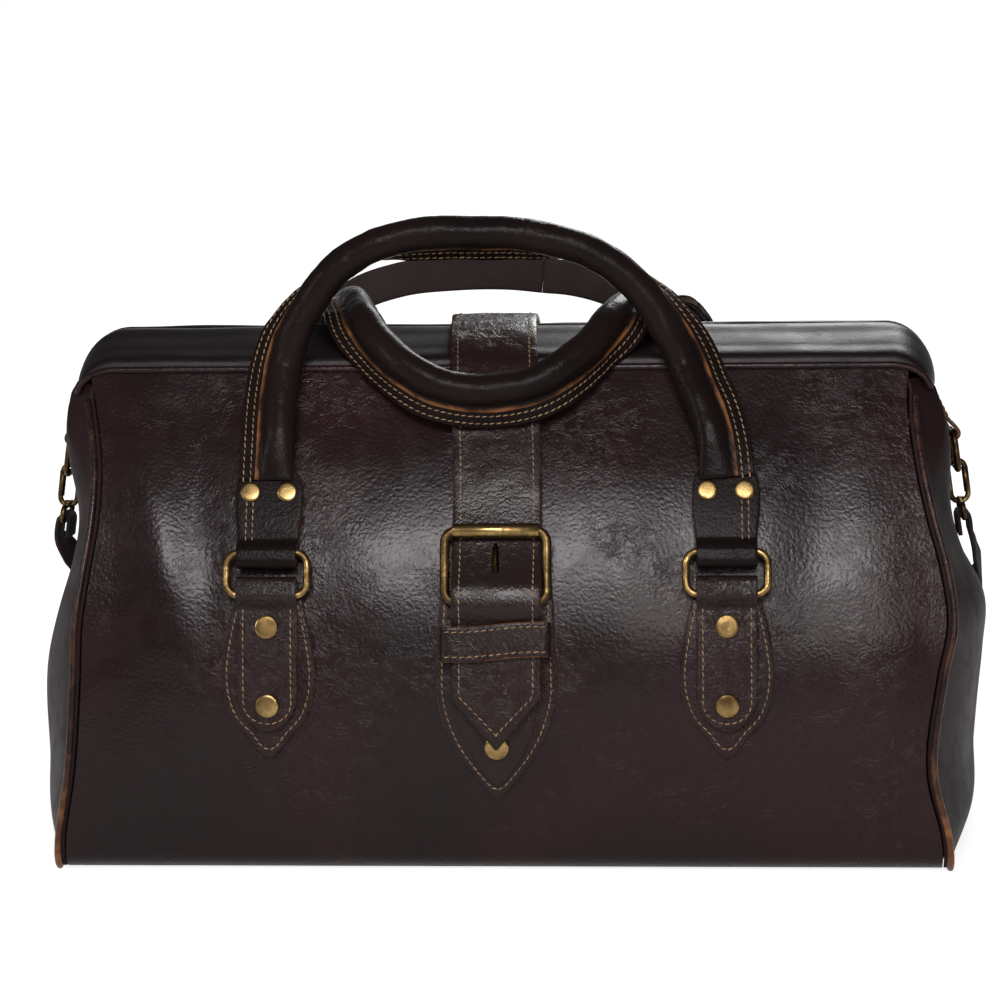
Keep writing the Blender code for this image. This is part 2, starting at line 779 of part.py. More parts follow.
def gusset_reach(z, share, end):
    """Distance of the gusset's outer face from the bag's middle, at a share of its depth."""
    return half_length(z, end) + gusset_bulge(z, end) * (1.0 - abs(share) ** GUSSET_ROUNDNESS)


def gusset_grid(heights, end):
    shares = np.linspace(-1.0, 1.0, GUSSET_COLUMNS + 1)
    return np.array(
        [[(end * gusset_reach(z, s, end), s * edge_depth(z), z) for s in shares] for z in heights]
    )


def build_gusset(name, end):
    heights = rounding_heights() + rows_between(BOTTOM_ROUNDING, GUSSET_TOP_RIGID)[1:]
    outer = gusset_grid(heights, end)
    inner = thickened(outer, WALL_THICKNESS, (0.0, 0.0, PIPING_HEIGHT / 2.0))
    inner[0, :, 2] = 0.0
    return shell_solid(name, outer, inner, leather(name))


def build_gusset_top(name, end):
    """Upper strip of a gusset, its corners drawn up under the ends of the jaws' covers."""
    low = GUSSET_TOP_RIGID + CLEARANCE
    outer = []
    for z in rows_between(low, GUSSET_TOP):
        share = (z - low) / (GUSSET_TOP - low)
        row = []
        for s in np.linspace(-1.0, 1.0, GUSSET_COLUMNS + 1):
            corner = max(abs(s) - GUSSET_CORNER_SHARE, 0.0) / (1.0 - GUSSET_CORNER_SHARE)
            level = z + (GUSSET_CORNER_TOP - GUSSET_TOP) * share * corner
            row.append((end * gusset_reach(level, s, end), s * edge_depth(level), level))
        outer.append(row)
    outer = np.array(outer)
    inner = thickened(outer, WALL_THICKNESS, (0.0, 0.0, GUSSET_TOP))
    inner[:, :, 2] = outer[:, :, 2]
    return shell_solid(name, outer, inner, leather(name))


def box_points(low, high):
    return [(x, y, z) for z in (low[2], high[2]) for y in (low[1], high[1]) for x in (low[0], high[0])]


BOX_FACES = ((0, 1, 3, 2), (4, 6, 7, 5), (0, 4, 5, 1), (2, 3, 7, 6), (0, 2, 6, 4), (1, 5, 7, 3))


def box(name, low, high, made_of, origin=(0.0, 0.0, 0.0)):
    return make_object(name, box_points(low, high), BOX_FACES, made_of, origin, smooth=False)


def build_base():
    """Bottom leather, shaped to the walls and the rounded ends, and the stiff board on it."""
    inset = WALL_THICKNESS + CLEARANCE
    half_y = edge_depth(0.0) - CLEARANCE - WALL_THICKNESS / 2.0
    shares = np.linspace(-1.0, 1.0, GUSSET_COLUMNS + 1)
    right = [(gusset_reach(0.0, s, RIGHT) - inset, s * half_y) for s in shares]
    left = [(inset - gusset_reach(0.0, s, LEFT), s * half_y) for s in shares[::-1]]
    name = "base_leather"
    prism(name, right + left, [], (0.0, BASE_THICKNESS), lambda z, x, y: (x, y, z), leather(name))
    low = BASE_THICKNESS + CLEARANCE
    half_x = half_length(0.0, LEFT) - inset - BOARD_MARGIN
    half_y -= BOARD_MARGIN / 2.0
    fibre = material("base_board", BOARD)
    box("base_board", (-half_x, -half_y, low), (half_x, half_y, low + BOARD_THICKNESS), fibre)


def build_welt(name, end, side):
    """Sewn ridge along the seam between a wall and a gusset."""
    stand = (WELT_RADIUS + CLEARANCE) * math.sqrt(1.0 / 2.0)
    low = [z for z in rounding_heights() if z > WELT_RADIUS]
    heights = low[:-1] + rows_between(BOTTOM_ROUNDING, GUSSET_TOP - WELT_RADIUS)
    path = [
        (end * (half_length(z, end) + stand), side * (edge_depth(z) + stand), z) for z in heights
    ]
    section = circle(WELT_RADIUS, WIRE_STEPS - 2)
    sweep(name, path, [(1.0, 0.0, 0.0)] * len(path), section, leather(name))


# Frame of the mouth


def cover_section():
    rise = FRAME_TOP - COVER_FOOT
    return [
        (COVER_HALF_DEPTH * y, rise * z) for y, z in zip(COVER_PATH_Y_SHARES, COVER_PATH_Z_SHARES)
    ]


def cover_grid(side, inset=0.0):
    """Outer face of a jaw's cover: one row for each point of its section, ends turned down."""
    turns = np.linspace(QUARTER_TURN, 0.0, COVER_END_STEPS + 1)
    grid = []
    for y, rise in cover_section():
        share = y / COVER_HALF_DEPTH
        reach = FRAME_END_REACH * (1.0 - COVER_EDGE_DRAW * share**2)
        ends = [(FRAME_HALF_LENGTH + reach * math.sin(t), rise * math.cos(t)) for t in turns]
        middle = np.linspace(FRAME_HALF_LENGTH, -FRAME_HALF_LENGTH, COVER_COLUMNS + 1)
        row = [(x, z) for x, z in ends]
        row += [(x, rise) for x in middle[1:-1]]
        row += [(-x, z) for x, z in reversed(ends)]
        grid.append([(x, side * y, COVER_FOOT + z) for x, z in row])
    return np.array(grid)


def build_cover(name, side):
    outer = cover_grid(side)
    inner = thickened(outer, COVER_THICKNESS, (0.0, side * COVER_HALF_DEPTH / 2.0, HINGE_HEIGHT))
    hinge = (0.0, 0.0, HINGE_HEIGHT)
    return shell_solid(name, outer, inner, leather(name), hinge)


def build_jaw(name, side, inset):
    """Steel bar along the mouth with a leg at each end down to the hinge pin."""
    steel = material(name, STEEL)
    hinge = (0.0, 0.0, HINGE_HEIGHT)
    top = FRAME_TOP - COVER_THICKNESS - BAR_DROP
    leg = FRAME_HALF_LENGTH + LEG_INSET - inset
    near = side * (BAR_OFFSET - BAR_THICKNESS / 2.0)
    far = side * (BAR_OFFSET + BAR_THICKNESS / 2.0)
    low_y, high_y = min(near, far), max(near, far)
    bar = box(name, (-leg, low_y, top - BAR_HEIGHT), (leg, high_y, top), steel, hinge)
    for end_name, end in ENDS.items():
        outline = [
            (EYE_RADIUS * math.cos(t), EYE_RADIUS * math.sin(t))
            for t in np.linspace(-math.pi, 0.0, HALF_EYE_STEPS + 1)
        ]
        rise = top - HINGE_HEIGHT
        reach = side * BAR_OFFSET
        half = LEG_WIDTH / 2.0
        neck = rise * LEG_NECK_SHARE
        crest = rise - LEG_DROP
        outline += [(reach + half, neck), (reach + half, crest)]
        outline += [(reach - half, crest), (reach - half, neck)]
        hole = circle(PIN_RADIUS + PIN_CLEARANCE, EYE_STEPS)[::-1]
        inner_x = end * (leg - BAR_THICKNESS)
        outer_x = end * leg
        helper = prism(
            name + "_leg_" + end_name,
            outline,
            [hole],
            sorted((inner_x, outer_x)),
            lambda x, u, v: (x, u, HINGE_HEIGHT + v),
            None,
            hinge,
        )
        combine(bar, helper, "UNION")
    return bar


def build_hinge_pin(name, end):
    """Pin through both jaws' eyes, with its head against the inside of the gusset."""
    steel = material(name, STEEL)
    levels = (HINGE_HEIGHT - PIN_HEAD_RADIUS, HINGE_HEIGHT, HINGE_HEIGHT + PIN_HEAD_RADIUS)
    reach = min(gusset_reach(level, 0.0, end) for level in levels)
    outside = reach - WALL_THICKNESS - CLEARANCE
    leg = FRAME_HALF_LENGTH + LEG_INSET
    inside = leg - 2.0 * BAR_THICKNESS - JAW_GAP - PIN_HEAD
    neck = leg + CLEARANCE
    profile = (
        (inside, PIN_RADIUS),
        (neck, PIN_RADIUS),
        (neck, PIN_HEAD_RADIUS),
        (outside, PIN_HEAD_RADIUS * PIN_HEAD_TAPER_SHARE),
    )
    points, faces = [], []
    for x, radius in profile:
        points += [(end * x, u, HINGE_HEIGHT + v) for u, v in circle(radius, EYE_STEPS)]
    for ring in range(len(profile) - 1):
        for k in range(EYE_STEPS):
            a = ring * EYE_STEPS + k
            b = ring * EYE_STEPS + (k + 1) % EYE_STEPS
            faces.append((a, b, b + EYE_STEPS, a + EYE_STEPS))
    faces.append(tuple(range(EYE_STEPS)))
    faces.append(tuple(range((len(profile) - 1) * EYE_STEPS, len(profile) * EYE_STEPS)))
    make_object(name, points, faces, steel, (end * leg, 0.0, HINGE_HEIGHT))


# Rings, tabs, patches


def tab_bore():
    return RING_WIRE / 2.0 + RING_PLAY


def tab_centre_offset():
    return CLEARANCE + PATCH_THICKNESS + CLEARANCE + tab_bore() + TAB_LAYER


def ring_low(end, side):
    return on_wall(end * RING_SPACING / 2.0, RING_BAR_HEIGHT, tab_centre_offset(), side)


def height_at_reach(low, x, start, offset, reach, side):
    """Height above the start at which a point off the wall is this far from the low one."""
    near, far = start, start + reach + reach
    for _ in range(SEARCH_STEPS):
        middle = (near + far) / 2.0
        if np.linalg.norm(on_wall(x, middle, offset, side) - low) < reach:
            near = middle
        else:
            far = middle
    return near


def ring_high_height(end, side):
    """Height on the wall at which the ring's upper bar stands off it."""
    x = end * RING_SPACING / 2.0
    pitch = RING_HEIGHT - RING_WIRE
    return height_at_reach(
        ring_low(end, side), x, RING_BAR_HEIGHT, RING_UPPER_OFFSET, pitch, side
    )


def ring_high(end, side):
    return on_wall(end * RING_SPACING / 2.0, ring_high_height(end, side), RING_UPPER_OFFSET, side)


def build_patch(name, end, side):
    rows = []
    for share, width in zip(PATCH_ROW_SHARES, PATCH_WIDTH_SHARES):
        z = PATCH_TIP + (PATCH_TOP - PATCH_TIP) * share
        middle = end * RING_SPACING / 2.0
        half = PATCH_HALF_WIDTH * width
        rows.append((z, middle - half, middle + half))
    slab_on_wall(name, rows, PATCH_COLUMNS, CLEARANCE, CLEARANCE + PATCH_THICKNESS, side, leather(name))


def wall_frame(middle, anchor, offset, side, turn=1.0):
    """Puts (across, off, along) points on a wall, along counted up from the anchor height."""

    def place(across, off, along):
        z = height_after(anchor, turn * along)
        return on_wall(middle + across, z, offset + off, side)

    return place


def build_tab(name, end, side):
    middle = end * RING_SPACING / 2.0
    run = arc_of(RING_BAR_HEIGHT) - arc_of(TAB_FOOT)
    place = wall_frame(middle, RING_BAR_HEIGHT, tab_centre_offset(), side)
    return fold(
        name,
        TAB_WIDTH,
        tab_bore(),
        TAB_LAYER,
        run,
        place,
        leather(name),
        ring_low(end, side),
        TAB_SLACK,
        TAB_ROW_SHARES,
        TAB_WIDTH_SHARES,
    )


def rivet_on_wall(name, x, z, foot, side, radius, height):
    centre = on_wall(x, z, foot, side)
    return dome(name, centre, wall_normal(x, z, side), radius, height, brass(name))


def tab_face():
    return CLEARANCE * 2.0 + PATCH_THICKNESS + 2.0 * TAB_LAYER


def build_tab_rivets(name, end, side, tab):
    """Two rivet heads on a tab. At the back they are part of the tab's solid."""
    for place, z in zip(("upper", "lower"), TAB_RIVET_HEIGHTS):
        sunk = -TAB_LAYER / 2.0 if side == BACK else CLEARANCE
        high = RIVET_HEIGHT - sunk if side == BACK else RIVET_HEIGHT
        x = end * RING_SPACING / 2.0
        head = rivet_on_wall(name + "_" + place, x, z, tab_face() + sunk, side, RIVET_RADIUS, high)
        if side == BACK:
            combine(tab, head, "UNION")


def build_ring(name, end, side):
    wire_loop(
        name,
        ring_low(end, side),
        ring_high(end, side),
        (1.0, 0.0, 0.0),
        RING_WIRE,
        RING_LENGTH,
        RING_CORNER,
        brass(name),
    )


# Handles


def handle_section():
    """Roll with the sewn flange on its side."""
    half = HANDLE_FLANGE_HALF
    root = math.asin(half / HANDLE_ROLL)
    turns = np.linspace(root, FULL_TURN - root, ROLL_STEPS)
    points = [(HANDLE_ROLL * math.cos(t), HANDLE_ROLL * math.sin(t)) for t in turns]
    tip = HANDLE_ROLL + HANDLE_FLANGE
    return points + [(tip, -half), (tip, half)]


def leg_points(half, shares, top, side, end):
    points = []
    for along, wide in shares:
        z = HANDLE_ROLL_START + (top - HANDLE_ROLL_START) * along
        points.append(on_wall(end * half * wide, z, LEG_OFFSET, side))
    return points


def front_handle_path():
    """Middle line of the front handle's roll, from the left ring up over the arch to the right."""
    legs = {
        end: leg_points(FRONT_ARCH_HALF, FRONT_LEG_SHARES[end], FRONT_LEG_TOP, FRONT, end)
        for end in (LEFT, RIGHT)
    }
    rise = FRONT_ARCH_TOP - ARCH_FOOT_HEIGHT
    arch = [
        np.array(
            [
                FRONT_ARCH_HALF * across,
                ARCH_BACKSET * back - ARCH_FOOT_DEPTH,
                ARCH_FOOT_HEIGHT + rise * high,
            ]
        )
        for across, high, back in FRONT_ARCH_SHARES
    ]
    return smooth_path(legs[LEFT] + arch + legs[RIGHT][::-1], PATH_STEPS)


def back_handle_path():
    """Middle line of the back handle's roll, over the bag's top and down its front."""
    legs = {
        end: leg_points(BACK_HALF, BACK_LEG_SHARES, BACK_LEG_TOP, BACK, end)
        for end in (LEFT, RIGHT)
    }
    start = BACK_LOOP_SHARES[0][1]
    sides = {}
    for end in (LEFT, RIGHT):
        sides[end] = [
            np.array(
                [
                    end * BACK_HALF * wide + BACK_DRIFT * min(start - deep, 1.0),
                    BACK_REACH * deep,
                    BACK_TOP * high,
                ]
            )
            for wide, deep, high in BACK_LOOP_SHARES
        ]
    return smooth_path(legs[LEFT] + sides[LEFT] + sides[RIGHT][::-1] + legs[RIGHT][::-1], PATH_STEPS)


def flange_ways(path, front):
    """Side directions for the flange: outwards on the legs, turned under at the grip."""
    ways = []
    for place, way in zip(path, tangents(path, False)):
        outward = np.array([np.sign(place[0]) or 1.0, 0.0, 0.0])
        if front:
            share = (place[2] - ARCH_FOOT_HEIGHT) / (FRONT_ARCH_TOP - ARCH_FOOT_HEIGHT)
            turn = smooth_value(FLANGE_TURN_HEIGHT_SHARES, FLANGE_TURN_SHARES, share) * math.pi
            normal = unit(np.cross(way, (0.0, 1.0, 0.0)))
            if normal @ (place - np.array([0.0, place[1], ARCH_FOOT_HEIGHT])) < 0.0:
                normal = -normal
            ways.append(math.cos(turn) * normal + math.sin(turn) * np.array([0.0, 1.0, 0.0]))
        else:
            reach = -place[1] / BACK_REACH
            blend = min(max((reach - FLANGE_HANG_START) / FLANGE_HANG_SPAN, 0.0), 1.0)
            down = np.array([0.0, 0.0, -1.0])
            hang = (1.0 - abs(place[0]) / BACK_HALF) * FLANGE_HANG_GAIN
            ways.append(unit(outward * (1.0 - blend * min(hang, 1.0)) + down * blend * hang))
    return ways


def handle_pivot(side):
    return np.array([0.0, *ring_high(1.0, side)[1:]])


def build_handle(name, side):
    """Roll and flange in one sweep, joined to the flat ends that fold round the rings."""
    path = front_handle_path() if side == FRONT else back_handle_path()
    ways = flange_ways(path, side == FRONT)
    scales = [(1.0, 1.0)] * len(path)
    for k, share in enumerate(FLAT_START_SHARES):
        scales[k] = (1.0, share)
        scales[-1 - k] = (1.0, share)
    made_of = leather(name)
    pivot = handle_pivot(side)
    handle = sweep(name, path, ways, handle_section(), made_of, False, scales, pivot)
    for end_name, end in ENDS.items():
        anchor = ring_high_height(end, side)
        run = arc_of(HANDLE_END_TOP) - arc_of(anchor)
        place = wall_frame(end * RING_SPACING / 2.0, anchor, RING_UPPER_OFFSET, side, -1.0)
        bore = RING_WIRE / 2.0 + CLEARANCE
        strip = fold(
            name + "_end_" + end_name,
            HANDLE_END_WIDTH,
            bore,
            HANDLE_LAYER,
            run,
            place,
            None,
            pivot,
            HANDLE_SLACK,
            HANDLE_END_ROW_SHARES,
            HANDLE_END_WIDTH_SHARES,
        )
        combine(handle, strip, "UNION")
    return handle


def build_handle_rivets(name, side, handle):
    """Two rivet heads on each end. At the back they are part of the handle's solid."""
    face = RING_UPPER_OFFSET - RING_WIRE / 2.0 - CLEARANCE + HANDLE_LAYER
    for end_name, end in ENDS.items():
        for place, shift in (("outer", 0.5), ("inner", -0.5)):
            x = end * (RING_SPACING / 2.0 + HANDLE_RIVET_SPACING * shift)
            sunk = -HANDLE_LAYER / 2.0 if side == BACK else CLEARANCE
            high = RIVET_HEIGHT - sunk if side == BACK else RIVET_HEIGHT
            head = rivet_on_wall(
                "_".join((name, end_name, place)),
                x,
                HANDLE_RIVET_HEIGHT,
                face + sunk,
                side,
                RIVET_RADIUS * HANDLE_RIVET_SHARE,
                high,
            )
            if side == BACK:
                combine(handle, head, "UNION")


# Closing strap and buckle


def chape_bore():
    return BUCKLE_WIRE / 2.0 + CLEARANCE


def buckle_offset():
    return 2.0 * CLEARANCE + PATCH_THICKNESS + chape_bore() + CHAPE_LAYER


def strap_over_bar():
    return buckle_offset() + chape_bore() + CHAPE_LAYER + CLEARANCE


def keeper_floor():
    return 3.0 * CLEARANCE + PATCH_THICKNESS + CHAPE_LAYER


def strap_in_keeper():
    return keeper_floor() + KEEPER_WALL + CLEARANCE


def strap_stand():
    """Heights on the front wall and how far the strap's inner face stands off it there."""
    over_cap = keeper_floor() + CAP_HEIGHT + CLEARANCE
    low, high = BUCKLE_BAR_HEIGHT, BUCKLE_BAR_HEIGHT + BUCKLE_HEIGHT
    return (
        (STRAP_TIP, over_cap),
        (STRAP_TIP + CAP_RADIUS, over_cap),
        (STRAP_TIP + STRAP_TAPER, (over_cap + strap_in_keeper()) / 2.0),
        (KEEPER_LOW, strap_in_keeper()),
        ((KEEPER_LOW + KEEPER_HIGH) / 2.0, strap_in_keeper()),
        (KEEPER_HIGH, strap_in_keeper() + CLEARANCE),
        (low - BUCKLE_WIRE / 2.0, strap_over_bar()),
        (low + BUCKLE_WIRE, strap_over_bar()),
        (PRONG_HOLE_HEIGHT, strap_over_bar() * STRAP_FALL_SHARES[0]),
        (low + (high - low) * STRAP_FALL_SHARES[1], STRAP_RISE * STRAP_FALL_SHARES[2]),
        (low + (high - low) * STRAP_FALL_SHARES[3], STRAP_RISE),
        (WALL_TOP_RIGID * STRAP_LIE_SHARE, STRAP_RISE),
        (WALL_TOP_RIGID, STRAP_RISE * STRAP_TOP_RISE),
    )


def strap_offset(z):
    heights, offsets = zip(*strap_stand())
    return float(np.interp(z, heights, offsets))


def strap_path():
    """Inner face of the strap, from its tip up the front, over the top and down the back."""
    front = [on_wall(0.0, z, offset, FRONT) for z, offset in strap_stand()]
    arch = [np.array([0.0, y * STRAP_ARCH_HALF, FRAME_TOP * z]) for y, z in STRAP_ARCH_SHARES]
    down = np.linspace(STRAP_BACK_START, STRAP_BACK_FOOT, STRAP_BACK_ROWS)
    back = [
        on_wall(0.0, z, offset, BACK)
        for z, offset in (
            (WALL_TOP_RIGID, STRAP_RISE * STRAP_TOP_RISE),
            (WALL_TOP_RIGID * STRAP_LIE_SHARE, STRAP_RISE / 2.0),
            *((z, STRAP_BACK_STAND) for z in down),
        )
    ]
    return smooth_path(front + arch + back, PATH_STEPS)


def build_closing_strap():
    path = strap_path()
    ways = tangents(path, False)
    runs = np.concatenate([[0.0], np.cumsum(np.linalg.norm(np.diff(path, axis=0), axis=1))])
    outer, inner = [], []
    for place, way, run in zip(path, ways, runs):
        normal = np.array([0.0, -way[2], way[1]])
        share = min(run / STRAP_TAPER, 1.0)
        half = STRAP_WIDTH / 2.0 * (STRAP_TIP_SHARE + (1.0 - STRAP_TIP_SHARE) * share)
        places = (-half, 0.0, half)
        inner.append([place + (x, 0.0, 0.0) for x in places])
        outer.append([place + (x, 0.0, 0.0) + normal * STRAP_THICKNESS for x in places])
    strap = shell_solid("closing_strap", outer, inner, leather("closing_strap"))
    centre = on_wall(0.0, PRONG_HOLE_HEIGHT, strap_offset(PRONG_HOLE_HEIGHT), FRONT)
    way = wall_normal(0.0, PRONG_HOLE_HEIGHT, FRONT)
    reach = STRAP_THICKNESS * 2.0 + CUT_OVERRUN
    slot = [
        (PRONG_HOLE_HALF_WIDTH * u, PRONG_HOLE_HALF_HEIGHT * v)
        for u, v in circle(1.0, WIRE_STEPS)
    ]
    cutter = sweep(
        "prong_hole_cutter",
        [centre - way * reach, centre + way * reach],
        [(1.0, 0.0, 0.0)] * 2,
        slot,
        None,
    )
    combine(strap, cutter, "DIFFERENCE")


def build_leaf():
    rows = []
    for share, width in zip(LEAF_ROW_SHARES, LEAF_WIDTH_SHARES):
        z = LEAF_TIP + (LEAF_TOP - LEAF_TIP) * share
        rows.append((z, -LEAF_HALF_WIDTH * width, LEAF_HALF_WIDTH * width))
    name = "strap_leaf"
    slab_on_wall(name, rows, PATCH_COLUMNS, CLEARANCE, CLEARANCE + PATCH_THICKNESS, FRONT, leather(name))


def buckle_low():
    return on_wall(0.0, BUCKLE_BAR_HEIGHT, buckle_offset(), FRONT)


def buckle_high():
    pitch = BUCKLE_HEIGHT - BUCKLE_WIRE
    z = height_at_reach(
        buckle_low(), 0.0, BUCKLE_BAR_HEIGHT, BUCKLE_UPPER_OFFSET, pitch, FRONT
    )
    return on_wall(0.0, z, BUCKLE_UPPER_OFFSET, FRONT)


def build_chape():
    """Leather under the strap: folded round the buckle's lower bar, with a pointed tongue."""
    name = "buckle_chape"
    run = (chape_bore() + CHAPE_LAYER) * CHAPE_FOLD_SHARE
    place = wall_frame(0.0, BUCKLE_BAR_HEIGHT, buckle_offset(), FRONT)
    origin = buckle_low()
    chape = fold(
        name, 2.0 * CHAPE_HALF_WIDTH, chape_bore(), CHAPE_LAYER, run, place, leather(name), origin
    )
    start = height_after(BUCKLE_BAR_HEIGHT, -chape_bore() * 2.0)
    rows = []
    for share, width in zip(CHAPE_ROW_SHARES, CHAPE_WIDTH_SHARES):
        z = CHAPE_TIP + CHAPE_TAPER * share
        rows.append((z, -CHAPE_HALF_WIDTH * width, CHAPE_HALF_WIDTH * width))
    for z in np.linspace(CHAPE_TIP + CHAPE_TAPER, start, CHAPE_UPPER_ROWS)[1:]:
        rows.append((z, -CHAPE_HALF_WIDTH, CHAPE_HALF_WIDTH))
    low = 2.0 * CLEARANCE + PATCH_THICKNESS
    tongue = slab_on_wall(
        name + "_tongue", rows, PATCH_COLUMNS, low, low + CHAPE_LAYER, FRONT, None
    )
    combine(chape, tongue, "UNION")
    low_corner = on_wall(0.0, height_after(BUCKLE_BAR_HEIGHT, -chape_bore()), 0.0, FRONT)
    reach = (chape_bore() + CHAPE_LAYER) * 2.0
    over = reach * CHAPE_SLOT_REACH_SHARE
    slot = box(
        name + "_slot",
        (-CHAPE_SLOT / 2.0, low_corner[1] - over, low_corner[2] - PRONG_EYE_WALL),
        (CHAPE_SLOT / 2.0, low_corner[1] + reach, low_corner[2] + over),
        None,
    )
    combine(chape, slot, "DIFFERENCE")


def build_buckle():
    low, high = buckle_low(), buckle_high()
    across = (1.0, 0.0, 0.0)
    wire_loop(
        "buckle_frame",
        low,
        high,
        across,
        BUCKLE_WIRE,
        BUCKLE_LENGTH,
        BUCKLE_CORNER,
        brass("buckle_frame"),
    )
    up = unit(high - low)
    facing = np.cross(across, up)
    outline = circle(ROLLER_RADIUS, EYE_STEPS)
    hole = circle(ROLLER_BORE, EYE_STEPS)[::-1]
    prism(
        "buckle_roller",
        outline,
        [hole],
        (-ROLLER_LENGTH / 2.0, ROLLER_LENGTH / 2.0),
        lambda x, u, v: high + np.array([x, 0.0, 0.0]) + facing * u + up * v,
        brass("buckle_roller"),
        high,
    )
    build_prong(low, high, up, facing)


def build_prong(low, high, up, facing):
    """Tongue of the buckle: an eye on the lower bar, through the strap's slot, to the roller."""
    name = "buckle_prong"
    bore = BUCKLE_WIRE / 2.0 + CLEARANCE
    outline = circle(bore + PRONG_EYE_WALL, EYE_STEPS)
    hole = circle(bore, EYE_STEPS)[::-1]
    prong = prism(
        name,
        outline,
        [hole],
        (-PRONG_EYE_LENGTH / 2.0, PRONG_EYE_LENGTH / 2.0),
        lambda x, u, v: low + np.array([x, 0.0, 0.0]) + facing * u + up * v,
        brass(name),
        low,
    )
    rise = np.linalg.norm(high - low)
    through_offset = strap_offset(PRONG_HOLE_HEIGHT) + STRAP_THICKNESS / 2.0
    through = on_wall(0.0, PRONG_HOLE_HEIGHT, through_offset, FRONT)
    start = low + up * (bore + PRONG_EYE_WALL / 2.0)
    tip_height = height_after(BUCKLE_BAR_HEIGHT, rise * PRONG_REACH_SHARE)
    path = [start, (start + through) / 2.0 + up * PRONG_EYE_WALL, through]
    for z in ((PRONG_HOLE_HEIGHT + tip_height) / 2.0, tip_height):
        lie = strap_offset(z) + STRAP_THICKNESS + PRONG_RADIUS + CLEARANCE * 2.0
        path.append(on_wall(0.0, z, lie, FRONT))
    lie_path = smooth_path(path, PATH_STEPS)
    arm = sweep(
        name + "_arm",
        lie_path,
        [(1.0, 0.0, 0.0)] * len(lie_path),
        circle(PRONG_RADIUS, WIRE_STEPS),
        None,
    )
    combine(prong, arm, "UNION")


def build_keeper():
    """Flat loop that holds the strap down below the buckle."""
    low = keeper_floor()
    high = strap_in_keeper() + STRAP_THICKNESS + KEEPER_LIFT + KEEPER_WALL
    inner_half = STRAP_WIDTH / 2.0 + KEEPER_PLAY
    outer_half = inner_half + KEEPER_SIDE
    outline = [(-outer_half, low), (outer_half, low), (outer_half, high), (-outer_half, high)]
    hole = [
        (-inner_half, low + KEEPER_WALL),
        (-inner_half, high - KEEPER_WALL),
        (inner_half, high - KEEPER_WALL),
        (inner_half, low + KEEPER_WALL),
    ]
    prism(
        "strap_keeper",
        outline,
        [hole],
        np.linspace(KEEPER_LOW, KEEPER_HIGH, KEEPER_ROWS),
        lambda z, x, off: on_wall(x, z, off, FRONT),
        leather("strap_keeper"),
    )


def build_cap():
    foot = keeper_floor()
    name = "chape_rivet"
    rivet_on_wall(name, 0.0, STRAP_TIP, foot, FRONT, CAP_RADIUS, CAP_HEIGHT)


# Side tabs, D-rings, hooks, shoulder strap


def side_surface(z, end):
    return gusset_reach(z, 0.0, end)


def side_bar(end):
    z = SIDE_BAR_HEIGHT
    return np.array([end * (side_surface(z, end) + SIDE_BAR_STAND), 0.0, z])


def side_hang(end):
    """Way in which the D-ring and the hook hang, leaning on the gusset's bulge."""
    return np.array([end * math.sin(SIDE_LEAN), 0.0, -math.cos(SIDE_LEAN)])


def side_out(end):
    return np.array([end * math.cos(SIDE_LEAN), 0.0, math.sin(SIDE_LEAN)])


def build_side_tab(name, end):
    """Strip sewn to the gusset and folded round the straight bar of the D-ring."""
    bore = SIDE_WIRE / 2.0 + CLEARANCE
    run = SIDE_TAB_TOP - SIDE_BAR_HEIGHT
    centre = side_bar(end)
    foot = bore + SIDE_LAYER

    stand = SIDE_BAR_STAND - foot - CLEARANCE * 2.0
    level = side_surface(SIDE_BAR_HEIGHT + foot, end)

    def place(across, off, along):
        z = SIDE_BAR_HEIGHT - along
        lean = side_surface(max(z, SIDE_BAR_HEIGHT + foot), end) - level
        drawn = stand * min(max((-along - foot) / (run - foot), 0.0), 1.0)
        return np.array([centre[0] + end * (off + lean - drawn), across, z])

    fold(
        name,
        SIDE_TAB_WIDTH,
        bore,
        SIDE_LAYER,
        run,
        place,
        leather(name),
        centre,
        rows=SIDE_TAB_ROW_SHARES,
        widths=(1.0, 1.0, 1.0),
    )


def build_side_ring(name, end):
    low = side_bar(end)
    high = low + side_hang(end) * (SIDE_RING_HEIGHT - SIDE_WIRE)
    wire_loop(
        name, low, high, (0.0, 1.0, 0.0), SIDE_WIRE, SIDE_RING_LENGTH, SIDE_RING_CORNER, brass(name)
    )


def hook_top(end):
    bar = side_bar(end)
    drop = SIDE_RING_HEIGHT - SIDE_WIRE - SIDE_WIRE / 2.0 - CLEARANCE - HOOK_WIRE / 2.0
    return bar + side_hang(end) * drop


def hook_bottom(end):
    return hook_top(end) + side_hang(end) * (HOOK_HEIGHT - HOOK_WIRE)


def build_hook(name, end):
    """Link through the D-ring with a slot below it for the strap."""
    top, low = hook_top(end), hook_bottom(end)
    side = side_bar(end)
    hook = wire_loop(
        name, top, low, side_out(end), HOOK_WIRE, HOOK_WIDTH, HOOK_CORNER, brass(name), side
    )
    under = low + side_hang(end) * (HOOK_LOOP_HEIGHT - HOOK_WIRE)
    slot = wire_loop(
        name + "_slot",
        low,
        under,
        (0.0, 1.0, 0.0),
        HOOK_WIRE,
        HOOK_LOOP_LENGTH,
        HOOK_LOOP_CORNER,
        None,
        side,
    )
    combine(hook, slot, "UNION")


def strap_anchor(end):
    return hook_bottom(end) + side_hang(end) * (HOOK_LOOP_HEIGHT - HOOK_WIRE)


